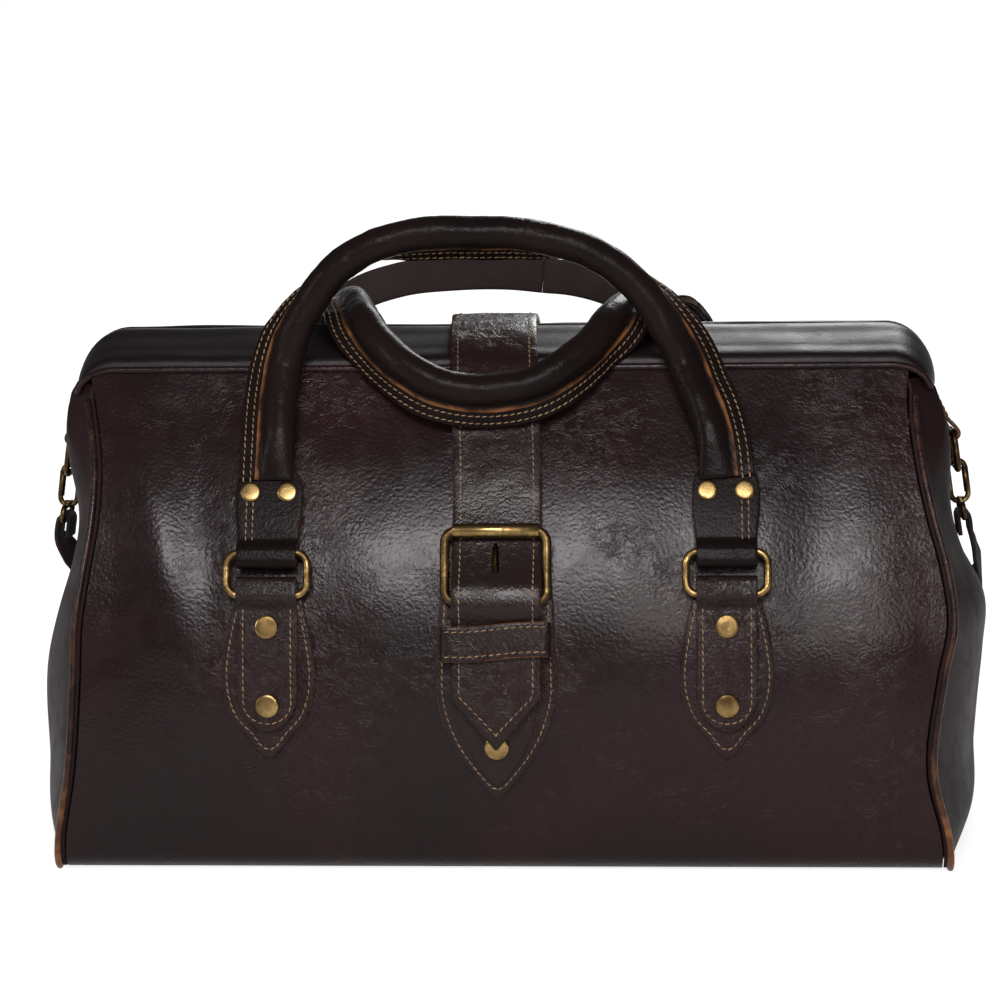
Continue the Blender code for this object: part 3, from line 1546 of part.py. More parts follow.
def build_shoulder_strap():
    """Flat strap from hook to hook, slack behind the bag, its middle standing above the top."""
    name = "shoulder_strap"
    edge = SHOULDER_THICKNESS / 2.0
    bend = HOOK_WIRE / 2.0 + CLEARANCE + edge
    halves = {}
    for end in (LEFT, RIGHT):
        anchor, hang, out = strap_anchor(end), side_hang(end), side_out(end)
        run = bend * SHOULDER_FOLD_SHARE
        inner = [anchor - out * bend + hang * run, anchor - out * bend + hang * run / 2.0]
        for turn in np.linspace(math.pi, 0.0, SHOULDER_BEND_STEPS + 1):
            inner.append(anchor + bend * (out * math.cos(turn) - hang * math.sin(turn)))
        route = [inner[-1] + hang * run]
        for deep, high in SHOULDER_SIDE_SHARES:
            y, z = SHOULDER_REACH * deep, SHOULDER_TOP * high
            reach = gusset_reach(z, min(y / edge_depth(z), 1.0), end) + SHOULDER_STAND
            route.append(np.array([end * reach, y, z]))
        for wide, deep, high in SHOULDER_SHARES:
            drift = smooth_value(SHOULDER_DRIFT_HEIGHT_SHARES, SHOULDER_DRIFT_SHARES, high)
            reach = anchor[0] * wide + SHOULDER_DRIFT * drift
            route.append(np.array([reach, SHOULDER_REACH * deep, SHOULDER_TOP * high]))
        halves[end] = (inner, route)
    inner, route = halves[LEFT]
    far_inner, far_route = halves[RIGHT]
    middle = smooth_path([inner[-1]] + route + far_route[::-1] + [far_inner[-1]], PATH_STEPS)
    level = [(0.0, -1.0, 0.0)] * (len(inner) - 1)
    across = [shoulder_way(place, way) for place, way in zip(middle, tangents(middle, False))]
    across[0] = across[-1] = level[0]
    path = np.concatenate([inner[:-1], middle, far_inner[:-1][::-1]])
    ways = level + across + level
    wide = SHOULDER_WIDTH / 2.0
    section = [(-wide, -edge), (wide, -edge), (wide, edge), (-wide, edge)]
    sweep(name, path, ways, section, material(name, FLESH_SIDE))


def shoulder_way(place, way):
    """Direction of the strap's width, its face turning from the side of the bag to the back."""
    reach = abs(strap_anchor(RIGHT)[0])
    behind = (place[1] / SHOULDER_REACH - SHOULDER_TURN_START) / SHOULDER_TURN_SPAN
    inward = (SHOULDER_CORNER_SHARE - abs(place[0]) / reach) / SHOULDER_CORNER_SPAN
    share = min(max(behind, inward, 0.0), 1.0)
    facing = np.array([(1.0 - share) * np.sign(place[0]), share, 0.0])
    return np.cross(facing, way)


def build_bag():
    clear_scene()
    for side_name, side in SIDES.items():
        build_wall("wall_" + side_name, side)
        build_wall_top("wall_top_" + side_name, side)
        build_cover("jaw_cover_" + side_name, side)
        build_handle_set(side_name, side)
    for end_name, end in ENDS.items():
        build_gusset("gusset_" + end_name, end)
        build_gusset_top("gusset_top_" + end_name, end)
        build_hinge_pin("hinge_pin_" + end_name, end)
        build_side_tab("side_tab_" + end_name, end)
        build_side_ring("side_ring_" + end_name, end)
        build_hook("snap_hook_" + end_name, end)
        for side_name, side in SIDES.items():
            build_welt("welt_" + side_name + "_" + end_name, end, side)
    build_base()
    build_jaw("jaw_front", FRONT, 0.0)
    build_jaw("jaw_back", BACK, BAR_THICKNESS + JAW_GAP)
    build_leaf()
    build_chape()
    build_buckle()
    build_keeper()
    build_cap()
    build_closing_strap()
    build_shoulder_strap()


def build_handle_set(side_name, side):
    for end_name, end in ENDS.items():
        where = side_name + "_" + end_name
        build_patch("leaf_patch_" + where, end, side)
        tab = build_tab("ring_tab_" + where, end, side)
        build_tab_rivets("tab_rivet_" + where, end, side, tab)
        build_ring("ring_" + where, end, side)
    handle = build_handle("handle_" + side_name, side)
    build_handle_rivets("handle_rivet_" + side_name, side, handle)


build_bag()
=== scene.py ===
"""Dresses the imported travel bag: leather, seams, stitches, brass, floor, lights and camera.

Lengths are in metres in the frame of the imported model: +X right as seen from the buckle
side, the buckle side facing -Y, +Z up.
"""

import math

import bmesh
import bpy
import numpy as np
from mathutils import Matrix, Vector, noise


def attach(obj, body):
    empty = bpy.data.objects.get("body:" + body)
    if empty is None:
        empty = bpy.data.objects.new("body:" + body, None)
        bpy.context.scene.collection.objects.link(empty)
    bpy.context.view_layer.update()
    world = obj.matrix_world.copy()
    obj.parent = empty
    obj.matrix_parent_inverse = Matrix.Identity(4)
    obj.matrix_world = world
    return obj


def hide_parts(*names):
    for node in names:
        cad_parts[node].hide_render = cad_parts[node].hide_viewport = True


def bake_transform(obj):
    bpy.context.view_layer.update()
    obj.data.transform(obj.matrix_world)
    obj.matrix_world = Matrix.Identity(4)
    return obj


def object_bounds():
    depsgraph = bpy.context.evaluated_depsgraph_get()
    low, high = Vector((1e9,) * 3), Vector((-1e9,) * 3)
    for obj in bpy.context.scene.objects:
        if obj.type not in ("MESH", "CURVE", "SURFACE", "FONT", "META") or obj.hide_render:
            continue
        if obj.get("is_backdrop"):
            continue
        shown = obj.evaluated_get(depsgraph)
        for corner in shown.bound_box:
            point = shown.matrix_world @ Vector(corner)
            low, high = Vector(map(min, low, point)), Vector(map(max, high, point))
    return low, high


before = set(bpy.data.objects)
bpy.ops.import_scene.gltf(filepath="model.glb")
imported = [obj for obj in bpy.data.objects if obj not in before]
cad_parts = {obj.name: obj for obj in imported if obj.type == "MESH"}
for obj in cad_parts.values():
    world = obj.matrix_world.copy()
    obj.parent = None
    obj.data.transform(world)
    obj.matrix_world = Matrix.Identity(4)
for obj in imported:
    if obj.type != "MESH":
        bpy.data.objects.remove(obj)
CAD_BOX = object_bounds()

bl_info = {
    "name": "Leather travel bag",
    "version": (1, 0, 0),
    "blender": (4, 5, 0),
    "location": "View3D > Sidebar > Bag",
    "description": "Leather, stitching and brass of a framed travel bag, on its packed model",
    "category": "Object",
}

# Body of the bag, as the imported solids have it
BODY_LENGTH = 0.470
BODY_DEPTH = 0.232
PIPING_HEIGHT = 0.264
GUSSET_BULGE = 0.032
GUSSET_ROUNDNESS = 2.2
WALL_CROWN = 0.004
BOTTOM_ROUNDING = 0.015
WALL_THICKNESS = 0.0024
WALL_TOP_RIGID = 0.232
GUSSET_TOP = 0.247
GUSSET_HEM = 0.2545
CLEARANCE = 0.0004
WELT_RADIUS = 0.0018
BASE_THICKNESS = 0.0028

LEFT = -1.0
RIGHT = 1.0
FRONT = -1.0
BACK = 1.0
SIDES = {"front": FRONT, "back": BACK}
ENDS = {"left": LEFT, "right": RIGHT}
HALF = 0.5
FULL_TURN = 2.0 * math.pi
QUARTER_TURN = HALF * math.pi

# Shares of the body's measures at shares of the piping's height
HEIGHT_SHARES = (0.0, 0.06, 0.2, 0.4, 0.5, 0.6, 0.7, 0.8, 0.93, 1.0)
DEPTH_SHARES = (0.985, 1.0, 0.996, 0.966, 0.927, 0.862, 0.776, 0.668, 0.491, 0.397)
LENGTH_SHARES = {
    LEFT: (1.002, 0.998, 0.972, 0.953, 0.949, 0.934, 0.918, 0.916, 0.943, 0.962),
    RIGHT: (1.008, 1.004, 0.968, 0.99, 1.012, 1.0, 0.972, 0.950, 0.938, 0.946),
}
BULGE_SHARES = {
    LEFT: (0.33, 0.62, 0.93, 1.0, 0.78, 0.58, 0.44, 0.42, 0.36, 0.3),
    RIGHT: (0.33, 0.66, 1.0, 0.97, 0.80, 0.50, 0.38, 0.36, 0.34, 0.3),
}

# Frame of the mouth
FRAME_HALF_LENGTH = 0.210
FRAME_END_REACH = 0.027
FRAME_TOP = 0.281
COVER_FOOT = 0.249
COVER_THICKNESS = 0.0022
COVER_PATH_Y_SHARES = (1.0, 0.985, 0.72, 0.42, 0.16, 0.065, 0.04, 0.025)
COVER_PATH_Z_SHARES = (0.40, 0.515, 0.72, 0.87, 0.985, 0.97, 0.88, 0.45)
COVER_HALF_DEPTH = 0.047
COVER_EDGE_DRAW = 0.25
PIPING_RADIUS = 0.0019

# Rings, tabs and leaf patches
RING_SPACING = 0.241
RING_WIRE = 0.0042
RING_LENGTH = 0.0468
RING_HEIGHT = 0.0268
RING_CORNER = 0.0068
RING_BAR_HEIGHT = 0.1475
RING_UPPER_OFFSET = 0.0092
RING_PLAY = 0.0007
PATCH_THICKNESS = 0.002
PATCH_HALF_WIDTH = 0.025
PATCH_TOP = 0.1475
PATCH_TIP = 0.063
PATCH_ROW_SHARES = (0.0, 0.03, 0.14, 0.24, 0.36, 0.52, 0.68, 0.82, 0.94, 1.0)
PATCH_WIDTH_SHARES = (0.03, 0.15, 0.46, 0.76, 0.93, 1.0, 0.95, 0.86, 0.76, 0.72)
TAB_WIDTH = 0.0316
TAB_LAYER = 0.0018
TAB_FOOT = 0.079
TAB_SLACK = 0.0052
TAB_ROW_SHARES = (1.0, 0.985, 0.94, 0.88, 0.80, 0.70, 0.45, 0.22)
TAB_WIDTH_SHARES = (0.16, 0.36, 0.62, 0.82, 0.96, 1.0, 1.0, 1.0)
TAB_RIVET_HEIGHTS = (0.132, 0.092)
RIVET_RADIUS = 0.0063

# Handles
HANDLE_ROLL = 0.0088
HANDLE_FLANGE = 0.0112
HANDLE_FLANGE_HALF = 0.0019
HANDLE_LAYER = 0.0019
HANDLE_END_WIDTH = 0.0355
HANDLE_END_TOP = 0.209
HANDLE_ROLL_START = 0.2055
HANDLE_RIVET_HEIGHT = 0.1978
HANDLE_RIVET_SPACING = 0.0195
HANDLE_RIVET_SHARE = 0.86
HANDLE_SLACK = 0.0040
HANDLE_END_ROW_SHARES = (1.0, 0.9, 0.72, 0.5, 0.25, 0.0)
HANDLE_END_WIDTH_SHARES = (0.72, 0.94, 1.0, 1.0, 0.92, 0.89)
FRONT_ARCH_TOP = 0.3355
FRONT_ARCH_HALF = 0.1155
BACK_REACH = 0.0765
BACK_TOP = 0.2925
BACK_DRIFT = -0.0065
BACK_HALF = 0.1185
LEG_OFFSET = 0.0118
HANDLE_SINK = 0.0022
FRONT_LEG_TOP = 0.252
BACK_LEG_TOP = 0.247
ARCH_BACKSET = 0.002
ARCH_FOOT_HEIGHT = 0.264
ARCH_FOOT_DEPTH = 0.0605

# Share of the way up the leg, and distance from the middle as a share of the half width
FRONT_LEG_SHARES = {
    LEFT: ((0.0, 1.01), (0.3, 1.006), (0.62, 1.006), (0.9, 1.0)),
    RIGHT: ((0.0, 1.0), (0.3, 0.982), (0.62, 0.945), (0.9, 0.893)),
}
BACK_LEG_SHARES = ((0.0, 1.0), (0.3, 0.985), (0.62, 0.95), (0.92, 0.90))
# Place across, rise and set back of the arch from its left foot to its right one
FRONT_ARCH_SHARES = (
    (-0.99, 0.0, 0.0), (-0.944, 0.273, 0.15), (-0.866, 0.497, 0.5), (-0.758, 0.720, 0.75),
    (-0.597, 0.888, 0.9), (-0.433, 0.972, 1.0), (-0.268, 1.0, 1.0), (-0.104, 1.0, 1.0),
    (0.069, 0.993, 1.0), (0.242, 0.944, 1.0), (0.411, 0.860, 0.9), (0.567, 0.706, 0.75),
    (0.693, 0.497, 0.5), (0.784, 0.252, 0.15), (0.858, 0.0, 0.0),
)
# Distance from the middle, place between front and back, and height of the hanging loop
BACK_LOOP_SHARES = (
    (0.80, 0.66, 0.945), (0.735, 0.30, 0.992), (0.665, 0.0, 1.003), (0.605, -0.30, 0.993),
    (0.55, -0.59, 0.978), (0.475, -0.79, 0.945), (0.36, -0.925, 0.910), (0.225, -0.985, 0.880),
    (0.075, -1.0, 0.8665),
)
FLANGE_TURN_HEIGHT_SHARES = (-0.5, 0.0, 0.33, 0.62, 0.85, 1.0)
FLANGE_TURN_SHARES = (0.0, 0.08, 0.25, 0.42, 0.56, 0.76)
FLANGE_HANG_START = 0.35
FLANGE_HANG_SPAN = 0.4
FLANGE_HANG_GAIN = 1.6

# Closing strap, buckle, keeper and the leather under them
STRAP_WIDTH = 0.047
STRAP_THICKNESS = 0.003
STRAP_TIP = 0.070
STRAP_TAPER = 0.027
STRAP_TIP_SHARE = 0.03
STRAP_LEAN = -0.005
STRAP_BACK_FOOT = 0.135
STRAP_RISE = 0.0022
STRAP_BACK_STAND = 0.0006
STRAP_BACK_START = 0.190
STRAP_ARCH_HALF = 0.0625
STRAP_ARCH_SHARES = (
    (-1.02, 0.875), (-0.955, 0.903), (-0.85, 0.937), (-0.70, 0.963), (-0.50, 0.985),
    (-0.26, 1.001), (0.0, 1.009), (0.26, 1.001), (0.50, 0.985), (0.70, 0.963), (0.85, 0.937),
    (0.955, 0.903), (1.02, 0.875),
)
STRAP_FALL_SHARES = (0.7, 0.62, 1.8, 0.9)
STRAP_LIE_SHARE = 0.9
STRAP_TOP_RISE = 1.3
LEAF_HALF_WIDTH = 0.0315
LEAF_TIP = 0.041
LEAF_TOP = 0.158
LEAF_ROW_SHARES = (0.0, 0.03, 0.12, 0.22, 0.34, 0.46, 0.60, 0.80, 1.0)
LEAF_WIDTH_SHARES = (0.02, 0.13, 0.42, 0.68, 0.88, 0.99, 1.0, 0.97, 0.92)
CHAPE_HALF_WIDTH = 0.0215
CHAPE_LAYER = 0.0017
CHAPE_TIP = 0.049
CHAPE_TAPER = 0.050
CHAPE_ROW_SHARES = (0.0, 0.12, 0.3, 0.5, 0.75, 1.0)
CHAPE_WIDTH_SHARES = (0.03, 0.30, 0.58, 0.80, 0.95, 1.0)
CHAPE_FOLD_SHARE = 1.95
FOLD_JOIN_SHARE = 1.7
BUCKLE_BAR_HEIGHT = 0.1442
BUCKLE_WIRE = 0.0050
BUCKLE_LENGTH = 0.0585
BUCKLE_HEIGHT = 0.0425
BUCKLE_CORNER = 0.006
BUCKLE_UPPER_OFFSET = 0.0108
ROLLER_RADIUS = 0.0039
ROLLER_BORE = 0.0027
ROLLER_LENGTH = 0.0455
PRONG_RADIUS = 0.0019
PRONG_HOLE_HEIGHT = 0.157
PRONG_REACH_SHARE = 0.80
PRONG_EYE_WALL = 0.0014
PRONG_EYE_LENGTH = 0.0055
KEEPER_LOW = 0.1155
KEEPER_HIGH = 0.1340
KEEPER_WALL = 0.0017
KEEPER_SIDE = 0.0024
KEEPER_PLAY = 0.0012
KEEPER_LIFT = 0.0016
KEEPER_SLACK = 0.0022
CAP_RADIUS = 0.0065
CAP_HEIGHT = 0.003

# Side tabs, D-rings, snap hooks and shoulder strap
SIDE_TAB_WIDTH = 0.020
SIDE_TAB_TOP = 0.244
SIDE_BAR_HEIGHT = 0.2195
SIDE_BAR_STAND = 0.0135
SIDE_LAYER = 0.0022
SIDE_WIRE = 0.0034
SIDE_LEAN = math.radians(8.0)
SIDE_RING_LENGTH = 0.034
SIDE_RING_HEIGHT = 0.0235
HOOK_WIRE = 0.003
HOOK_WIDTH = 0.0125
HOOK_HEIGHT = 0.026
HOOK_LOOP_LENGTH = 0.029
HOOK_LOOP_HEIGHT = 0.011
HOOK_LOOP_CORNER = 0.0036
SHOULDER_WIDTH = 0.020
SHOULDER_THICKNESS = 0.0022
SHOULDER_REACH = 0.145
SHOULDER_TOP = 0.304
SHOULDER_FOLD_SHARE = 3.2
SHOULDER_DRIFT = -0.015
SHOULDER_STAND = 0.0065
SHOULDER_SIDE_SHARES = ((0.08, 0.488), (0.24, 0.44), (0.46, 0.385), (0.70, 0.33))
SHOULDER_SHARES = (
    (0.945, 0.93, 0.285), (0.81, 1.0, 0.27), (0.66, 1.0, 0.29), (0.54, 0.97, 0.39),
    (0.46, 0.87, 0.58), (0.42, 0.72, 0.77), (0.38, 0.57, 0.895), (0.31, 0.50, 0.955),
    (0.20, 0.47, 0.988), (0.07, 0.46, 1.0),
)
SHOULDER_TURN_START = 0.5
SHOULDER_TURN_SPAN = 0.45
SHOULDER_CORNER_SHARE = 0.98
SHOULDER_CORNER_SPAN = 0.15

# Where the soft top would start to follow an opening jaw, and where it would follow it fully;
# soft_follow reads these but does not bend the leather
SOFT_START = (0.022, 0.236)
SOFT_END = (0.037, 0.271)

# Stitch rows: how far they stand off the leather, and their distance from a patch's cut edge
STITCH_STAND = 0.0001
PATCH_STITCH_INSET = 0.0030
PATCH_STITCH_TIP = 0.006
SEW_STEP = 0.0006
FLANGE_STITCHES = (0.0050, 0.0088)
HANDLE_END_STITCHES = (0.0082, 0.0116)
TAB_STITCH_INSET = 0.0032
TAB_STITCH_ROUND = 0.011
STRAP_STITCH_INSET = 0.0042

# Flattening of a handle's roll, by the distance from its foot
ROLL_FOOT_RUNS = (0.0, 0.014, 0.028, 0.044)
ROLL_FOOT_SHARES = (0.15, 0.46, 0.80, 1.0)
PATH_STEP = 0.0018

# Dents and swellings of the front wall: depth, place across and its spread, height and its
# spread. The slanting ones lie beside a line down from the upper left corner
SLANT_DENTS = ((0.0030, 0.0, 0.013, 0.17, 0.055), (-0.0026, 0.028, 0.014, 0.15, 0.06))
FRONT_DENTS = (
    (0.0022, 0.190, 0.022, 0.115, 0.05),
    (-0.0020, 0.168, 0.018, 0.185, 0.05),
    (-0.0014, -0.065, 0.026, 0.225, 0.03),
    (0.0016, 0.072, 0.024, 0.16, 0.04),
    (0.0014, -0.068, 0.024, 0.165, 0.04),
)
WALL_SLACK = 0.0013

# Each leather: its base, warm and edge colours, roughness, scale of its pebbles and creases,
# strength of the creases, depth of the grain, and share of the shine
LEATHERS = {
    "wall_leather": ("wall", "warm", "edge", 0.25, 560.0, 115.0, 0.55, 0.00027, 1.0),
    "gusset_leather": ("wall", "warm", "edge", 0.5, 860.0, 45.0, 0.3, 0.0002, 0.7),
    "strap_leather": ("strap", "warm", "edge", 0.26, 760.0, 105.0, 1.0, 0.0003, 1.0),
    "handle_leather": ("handle", "strap", "edge", 0.27, 700.0, 60.0, 0.5, 0.00022, 0.25),
    "frame_leather": ("handle", "wall", "strap", 0.40, 800.0, 50.0, 0.3, 0.00014, 1.0),
    "flesh_side": ("flesh", "taupe", "strap", 0.72, 1500.0, 60.0, 0.2, 0.00014, 1.0),
}
# Each brass: how far the polish reaches, share of the colours, and scale of the patches. The
# prong's brass keeps only a small share of its colours, which paints the shade that the prong lies
# in
BRASSES = {
    "aged_brass": (0.0, 1.0, 130.0),
    "rubbed_brass": (0.3, 0.62, 38.0),
    "buckle_brass": (-0.1, 0.72, 130.0),
    "side_brass": (-0.2, 0.55, 130.0),
    "dark_brass": (-0.5, 0.12, 130.0),
}

# Fineness
FINE = 0.0016
RIM = 0.0005
WIRE_SIDES = 16
ROLL_SIDES = 30
RIVET_SIDES = 36
ARC_STEPS = 240
NORMAL_STEP = 0.004

# Puffs of the gusset in front of and behind the side tab, and the fold under the tab
GUSSET_PUFF = 0.0125
PUFF_PLACE = 0.042
PUFF_SPREAD = 0.013
PUFF_HEIGHT = 0.222
PUFF_RISE = 0.030
GUSSET_FOLD = 0.0020

# Camera that looks along the photograph's line of sight
CAMERA_TURN = math.radians(3.35)
CAMERA_RISE = math.radians(9.0)
CAMERA_ROLL = math.radians(-0.78)
CAMERA_DISTANCE = 1.6
CAMERA_TARGET = Vector((-0.0037, 0.0, 0.182))
CAMERA_SENSOR = 36.0
CAMERA_LENS = 102.78
FLOOR_REACH = 6.0
# Slight rose tint of the soft boxes in front
TINT = (1.0, 0.945, 0.955)
PLAIN = (1.0, 1.0, 1.0)
# Soft boxes: name, place, target, size and colour
LAMPS = (
    ("key", (-0.02, -1.22, 0.90), (0.0, -0.09, 0.17), (0.62, 0.36), TINT),
    ("low", (0.28, -1.40, 0.50), (0.05, -0.11, 0.14), (0.45, 0.22), TINT),
    ("side", (-1.15, -0.75, 0.62), (-0.1, -0.05, 0.16), (0.3, 0.5), PLAIN),
    ("back", (0.35, 1.35, 1.15), (0.0, 0.08, 0.17), (0.7, 0.4), PLAIN),
)

STITCH_ROWS = {}


# Smooth lines and the outer form of the body


def smooth_value(knots, values, at):
    """Values at places on a smooth line through the table's points."""
    knots = np.asarray(knots, float)
    values = np.asarray(values, float)
    slopes = np.gradient(values, knots)
    at = np.clip(np.asarray(at, float), knots[0], knots[-1])
    k = np.clip(np.searchsorted(knots, at, side="right") - 1, 0, len(knots) - 2)
    span = knots[k + 1] - knots[k]
    t = (at - knots[k]) / span
    start = (1.0 + 2.0 * t) * (1.0 - t) ** 2 * values[k] + t * (1.0 - t) ** 2 * span * slopes[k]
    end = t**2 * (3.0 - 2.0 * t) * values[k + 1] + t**2 * (t - 1.0) * span * slopes[k + 1]
    return start + end


def run_lengths(points):
    return np.concatenate([[0.0], np.cumsum(np.linalg.norm(np.diff(points, axis=0), axis=1))])


def smooth_path(points, step=FINE):
    """Evenly spaced points along a smooth line through the given ones, in any dimension."""
    points = np.asarray(points, float)
    knots = run_lengths(points)
    places = np.linspace(0.0, knots[-1], max(int(knots[-1] / step), len(points)) + 1)
    return np.stack([smooth_value(knots, axis, places) for axis in points.T], axis=1)


def even_path(points, step):
    """Evenly spaced points along straight spans."""
    points = np.asarray(points, float)
    knots = run_lengths(points)
    places = np.linspace(0.0, knots[-1], max(int(knots[-1] / step), 2) + 1)
    return np.stack([np.interp(places, knots, axis) for axis in points.T], axis=1)


def half_length(z, end):
    return BODY_LENGTH * HALF * smooth_value(HEIGHT_SHARES, LENGTH_SHARES[end], z / PIPING_HEIGHT)


def half_depth(z):
    return BODY_DEPTH * HALF * smooth_value(HEIGHT_SHARES, DEPTH_SHARES, z / PIPING_HEIGHT)


def gusset_bulge(z, end):
    return GUSSET_BULGE * smooth_value(HEIGHT_SHARES, BULGE_SHARES[end], z / PIPING_HEIGHT)


def edge_depth(z):
    """Distance of the walls' side edges from the middle plane."""
    z = np.asarray(z, float)
    drop = np.clip(BOTTOM_ROUNDING - z, 0.0, BOTTOM_ROUNDING)
    rounded = half_depth(BOTTOM_ROUNDING) - BOTTOM_ROUNDING
    rounded = rounded + np.sqrt(BOTTOM_ROUNDING**2 - drop**2)
    return np.where(z >= BOTTOM_ROUNDING, half_depth(z), rounded)


def wall_depth(x, z):
    """Distance of the walls' outer face from the middle plane, with their crown."""
    rise = np.clip((z - BOTTOM_ROUNDING) / (PIPING_HEIGHT - BOTTOM_ROUNDING), 0.0, 1.0)
    reach = np.where(np.asarray(x) > 0.0, half_length(z, RIGHT), half_length(z, LEFT))
    return edge_depth(z) + WALL_CROWN * np.sin(math.pi * rise) * (1.0 - (x / reach) ** 2)


def gusset_reach(z, share, end):
    return half_length(z, end) + gusset_bulge(z, end) * (1.0 - np.abs(share) ** GUSSET_ROUNDNESS)


def stacked(*parts):
    """Points from their three coordinates, which may be numbers or arrays."""
    return np.stack(np.broadcast_arrays(*[np.asarray(part, float) for part in parts]), axis=-1)


def wall_normal(x, z, side):
    across = wall_depth(x + NORMAL_STEP, z) - wall_depth(x - NORMAL_STEP, z)
    up = wall_depth(x, z + NORMAL_STEP) - wall_depth(x, z - NORMAL_STEP)
    scale = side / (2.0 * NORMAL_STEP)
    normal = -side * stacked(across * scale, -1.0, up * scale)
    return normal / np.linalg.norm(normal, axis=-1, keepdims=True)


def on_wall(x, z, offset, side):
    """Points that stand off the outer face of a wall."""
    x, z = np.asarray(x, float), np.asarray(z, float)
    place = stacked(x, side * wall_depth(x, z), z)
    return place + np.asarray(offset, float)[..., None] * wall_normal(x, z, side)


ARC_HEIGHTS = np.linspace(BOTTOM_ROUNDING, PIPING_HEIGHT, ARC_STEPS)
ARC_RUNS = run_lengths(np.stack([ARC_HEIGHTS, wall_depth(0.0, ARC_HEIGHTS)], axis=1))


def arc_of(z):
    return np.interp(z, ARC_HEIGHTS, ARC_RUNS)


def height_after(z, run):
    """Height reached by going this far up along the wall from the height z."""
    return np.interp(arc_of(z) + run, ARC_RUNS, ARC_HEIGHTS)


# Closed meshes from grids and paths


def shaped(name, points, faces, finish, marks=None):
    """One closed mesh at the origin, smooth, facing out, with its marks as point attributes."""
    mesh = bpy.data.meshes.new(name)
    mesh.from_pydata(np.asarray(points, float).tolist(), [], faces)
    shape = bmesh.new()
    shape.from_mesh(mesh)
    bmesh.ops.recalc_face_normals(shape, faces=shape.faces)
    shape.to_mesh(mesh)
    shape.free()
    mesh.shade_smooth()
    for mark in ("edge", "flesh"):
        values = (marks or {}).get(mark)
        if values is None:
            values = np.zeros(len(mesh.vertices))
        attribute = mesh.attributes.new(mark, "FLOAT", "POINT")
        attribute.data.foreach_set("value", np.asarray(values, np.float32).ravel())
    mesh.materials.append(finish)
    obj = bpy.data.objects.new(name, mesh)
    bpy.context.scene.collection.objects.link(obj)
    return obj


def grid_faces(rows, columns, start=0, closed_rows=False, closed_columns=False):
    faces = []
    for r in range(rows if closed_rows else rows - 1):
        for c in range(columns if closed_columns else columns - 1):
            here, up = start + r * columns, start + ((r + 1) % rows) * columns
            after = (c + 1) % columns
            faces.append((here + c, here + after, up + after, up + c))
    return faces


def cap_faces(rows, columns):
    """Fans that close both ends of a tube of points, to the two points added after it."""
    base, top = (rows - 1) * columns, rows * columns
    faces = []
    for k in range(columns):
        after = (k + 1) % columns
        faces += [(after, k, top), (base + k, base + after, top + 1)]
    return faces


def shell(name, outer, inner, finish, edge=None, flesh=True):
    """Closed sheet between two grids of points, its rim marked as a cut edge."""
    rows, columns = outer.shape[:2]
    count = rows * columns
    points = np.concatenate([outer.reshape(-1, 3), inner.reshape(-1, 3)])
    faces = grid_faces(rows, columns) + grid_faces(rows, columns, count)
    border = list(range(columns))
    border += [r * columns + columns - 1 for r in range(1, rows)]
    border += [(rows - 1) * columns + c for c in range(columns - 2, -1, -1)]
    border += [r * columns for r in range(rows - 2, 0, -1)]
    for k, a in enumerate(border):
        b = border[(k + 1) % len(border)]
        faces.append((a, a + count, b + count, b))
    if edge is None:
        edge = np.zeros((rows, columns))
        edge[0] = edge[-1] = 1.0
        edge[:, 0] = edge[:, -1] = 1.0
    marks = {
        "edge": np.concatenate([edge.ravel(), np.asarray(edge).ravel()]),
        "flesh": np.concatenate([np.zeros(count), np.full(count, 1.0 if flesh else 0.0)]),
    }
    return shaped(name, points, faces, finish, marks)


def unit_rows(vectors):
    return vectors / np.linalg.norm(vectors, axis=-1, keepdims=True)


def squared(asides, ways):
    """Side directions, one or one for each point, turned square to the way of a path."""
    asides = np.asarray(asides, float)
    return unit_rows(asides - np.sum(asides * ways, axis=1, keepdims=True) * ways)


def line_normals(line):
    ways = unit_rows(np.gradient(line, axis=0))
    return np.stack([-ways[:, 1], ways[:, 0]], axis=1)


def noise_over(*parts):
    """Noise at points whose three coordinates are numbers or arrays."""
    spots = stacked(*parts)
    values = [noise.noise(Vector(spot)) for spot in spots.reshape(-1, 3).tolist()]
    return np.reshape(values, spots.shape[:-1])


def grid_normals(grid, towards):
    """Normals of a grid of points on the side away from the point given."""
    along = np.gradient(grid, axis=1)
    up = np.gradient(grid, axis=0)
    normal = unit_rows(np.cross(along, up))
    away = np.sum(normal * (grid - np.asarray(towards)), axis=-1, keepdims=True)
    return np.where(away < 0.0, -normal, normal)


def rimmed(low, high, count, rim=RIM):
    """Places from low to high, with one close inside each end."""
    return np.concatenate([[low], np.linspace(low + rim, high - rim, count), [high]])


def across_shares(count=12):
    """Places across a strip from -1 to 1, close together at its edges."""
    edge = np.array([1.0, 0.985, 0.95])
    return np.concatenate([-edge, np.linspace(-0.88, 0.88, count), edge[::-1]])


def edge_fall(shares, rows):
    """Share of its thickness that a strip loses where its edges are rounded over."""
    fall = np.clip((np.abs(shares) - 0.94) / 0.06, 0.0, 1.0) ** 2 * 0.28
    fall = np.repeat(fall[None, :], rows, axis=0)
    fall[0] = fall[-1] = fall[0, 0]
    return fall


def slab(name, rows, place, low, high, finish):
    """Flat piece on a curved ground: rows of (height, left, right), with rounded cut edges."""
    shares = across_shares()
    middle = (rows[:, 1] + rows[:, 2]) * HALF
    half = (rows[:, 2] - rows[:, 1]) * HALF
    x = middle[:, None] + half[:, None] * shares[None, :]
    z = np.repeat(rows[:, :1], len(shares), axis=1)
    outer = place(x, high - (high - low) * edge_fall(shares, len(rows)), z)
    return shell(name, outer, place(x, low + 0.0 * x, z), finish)


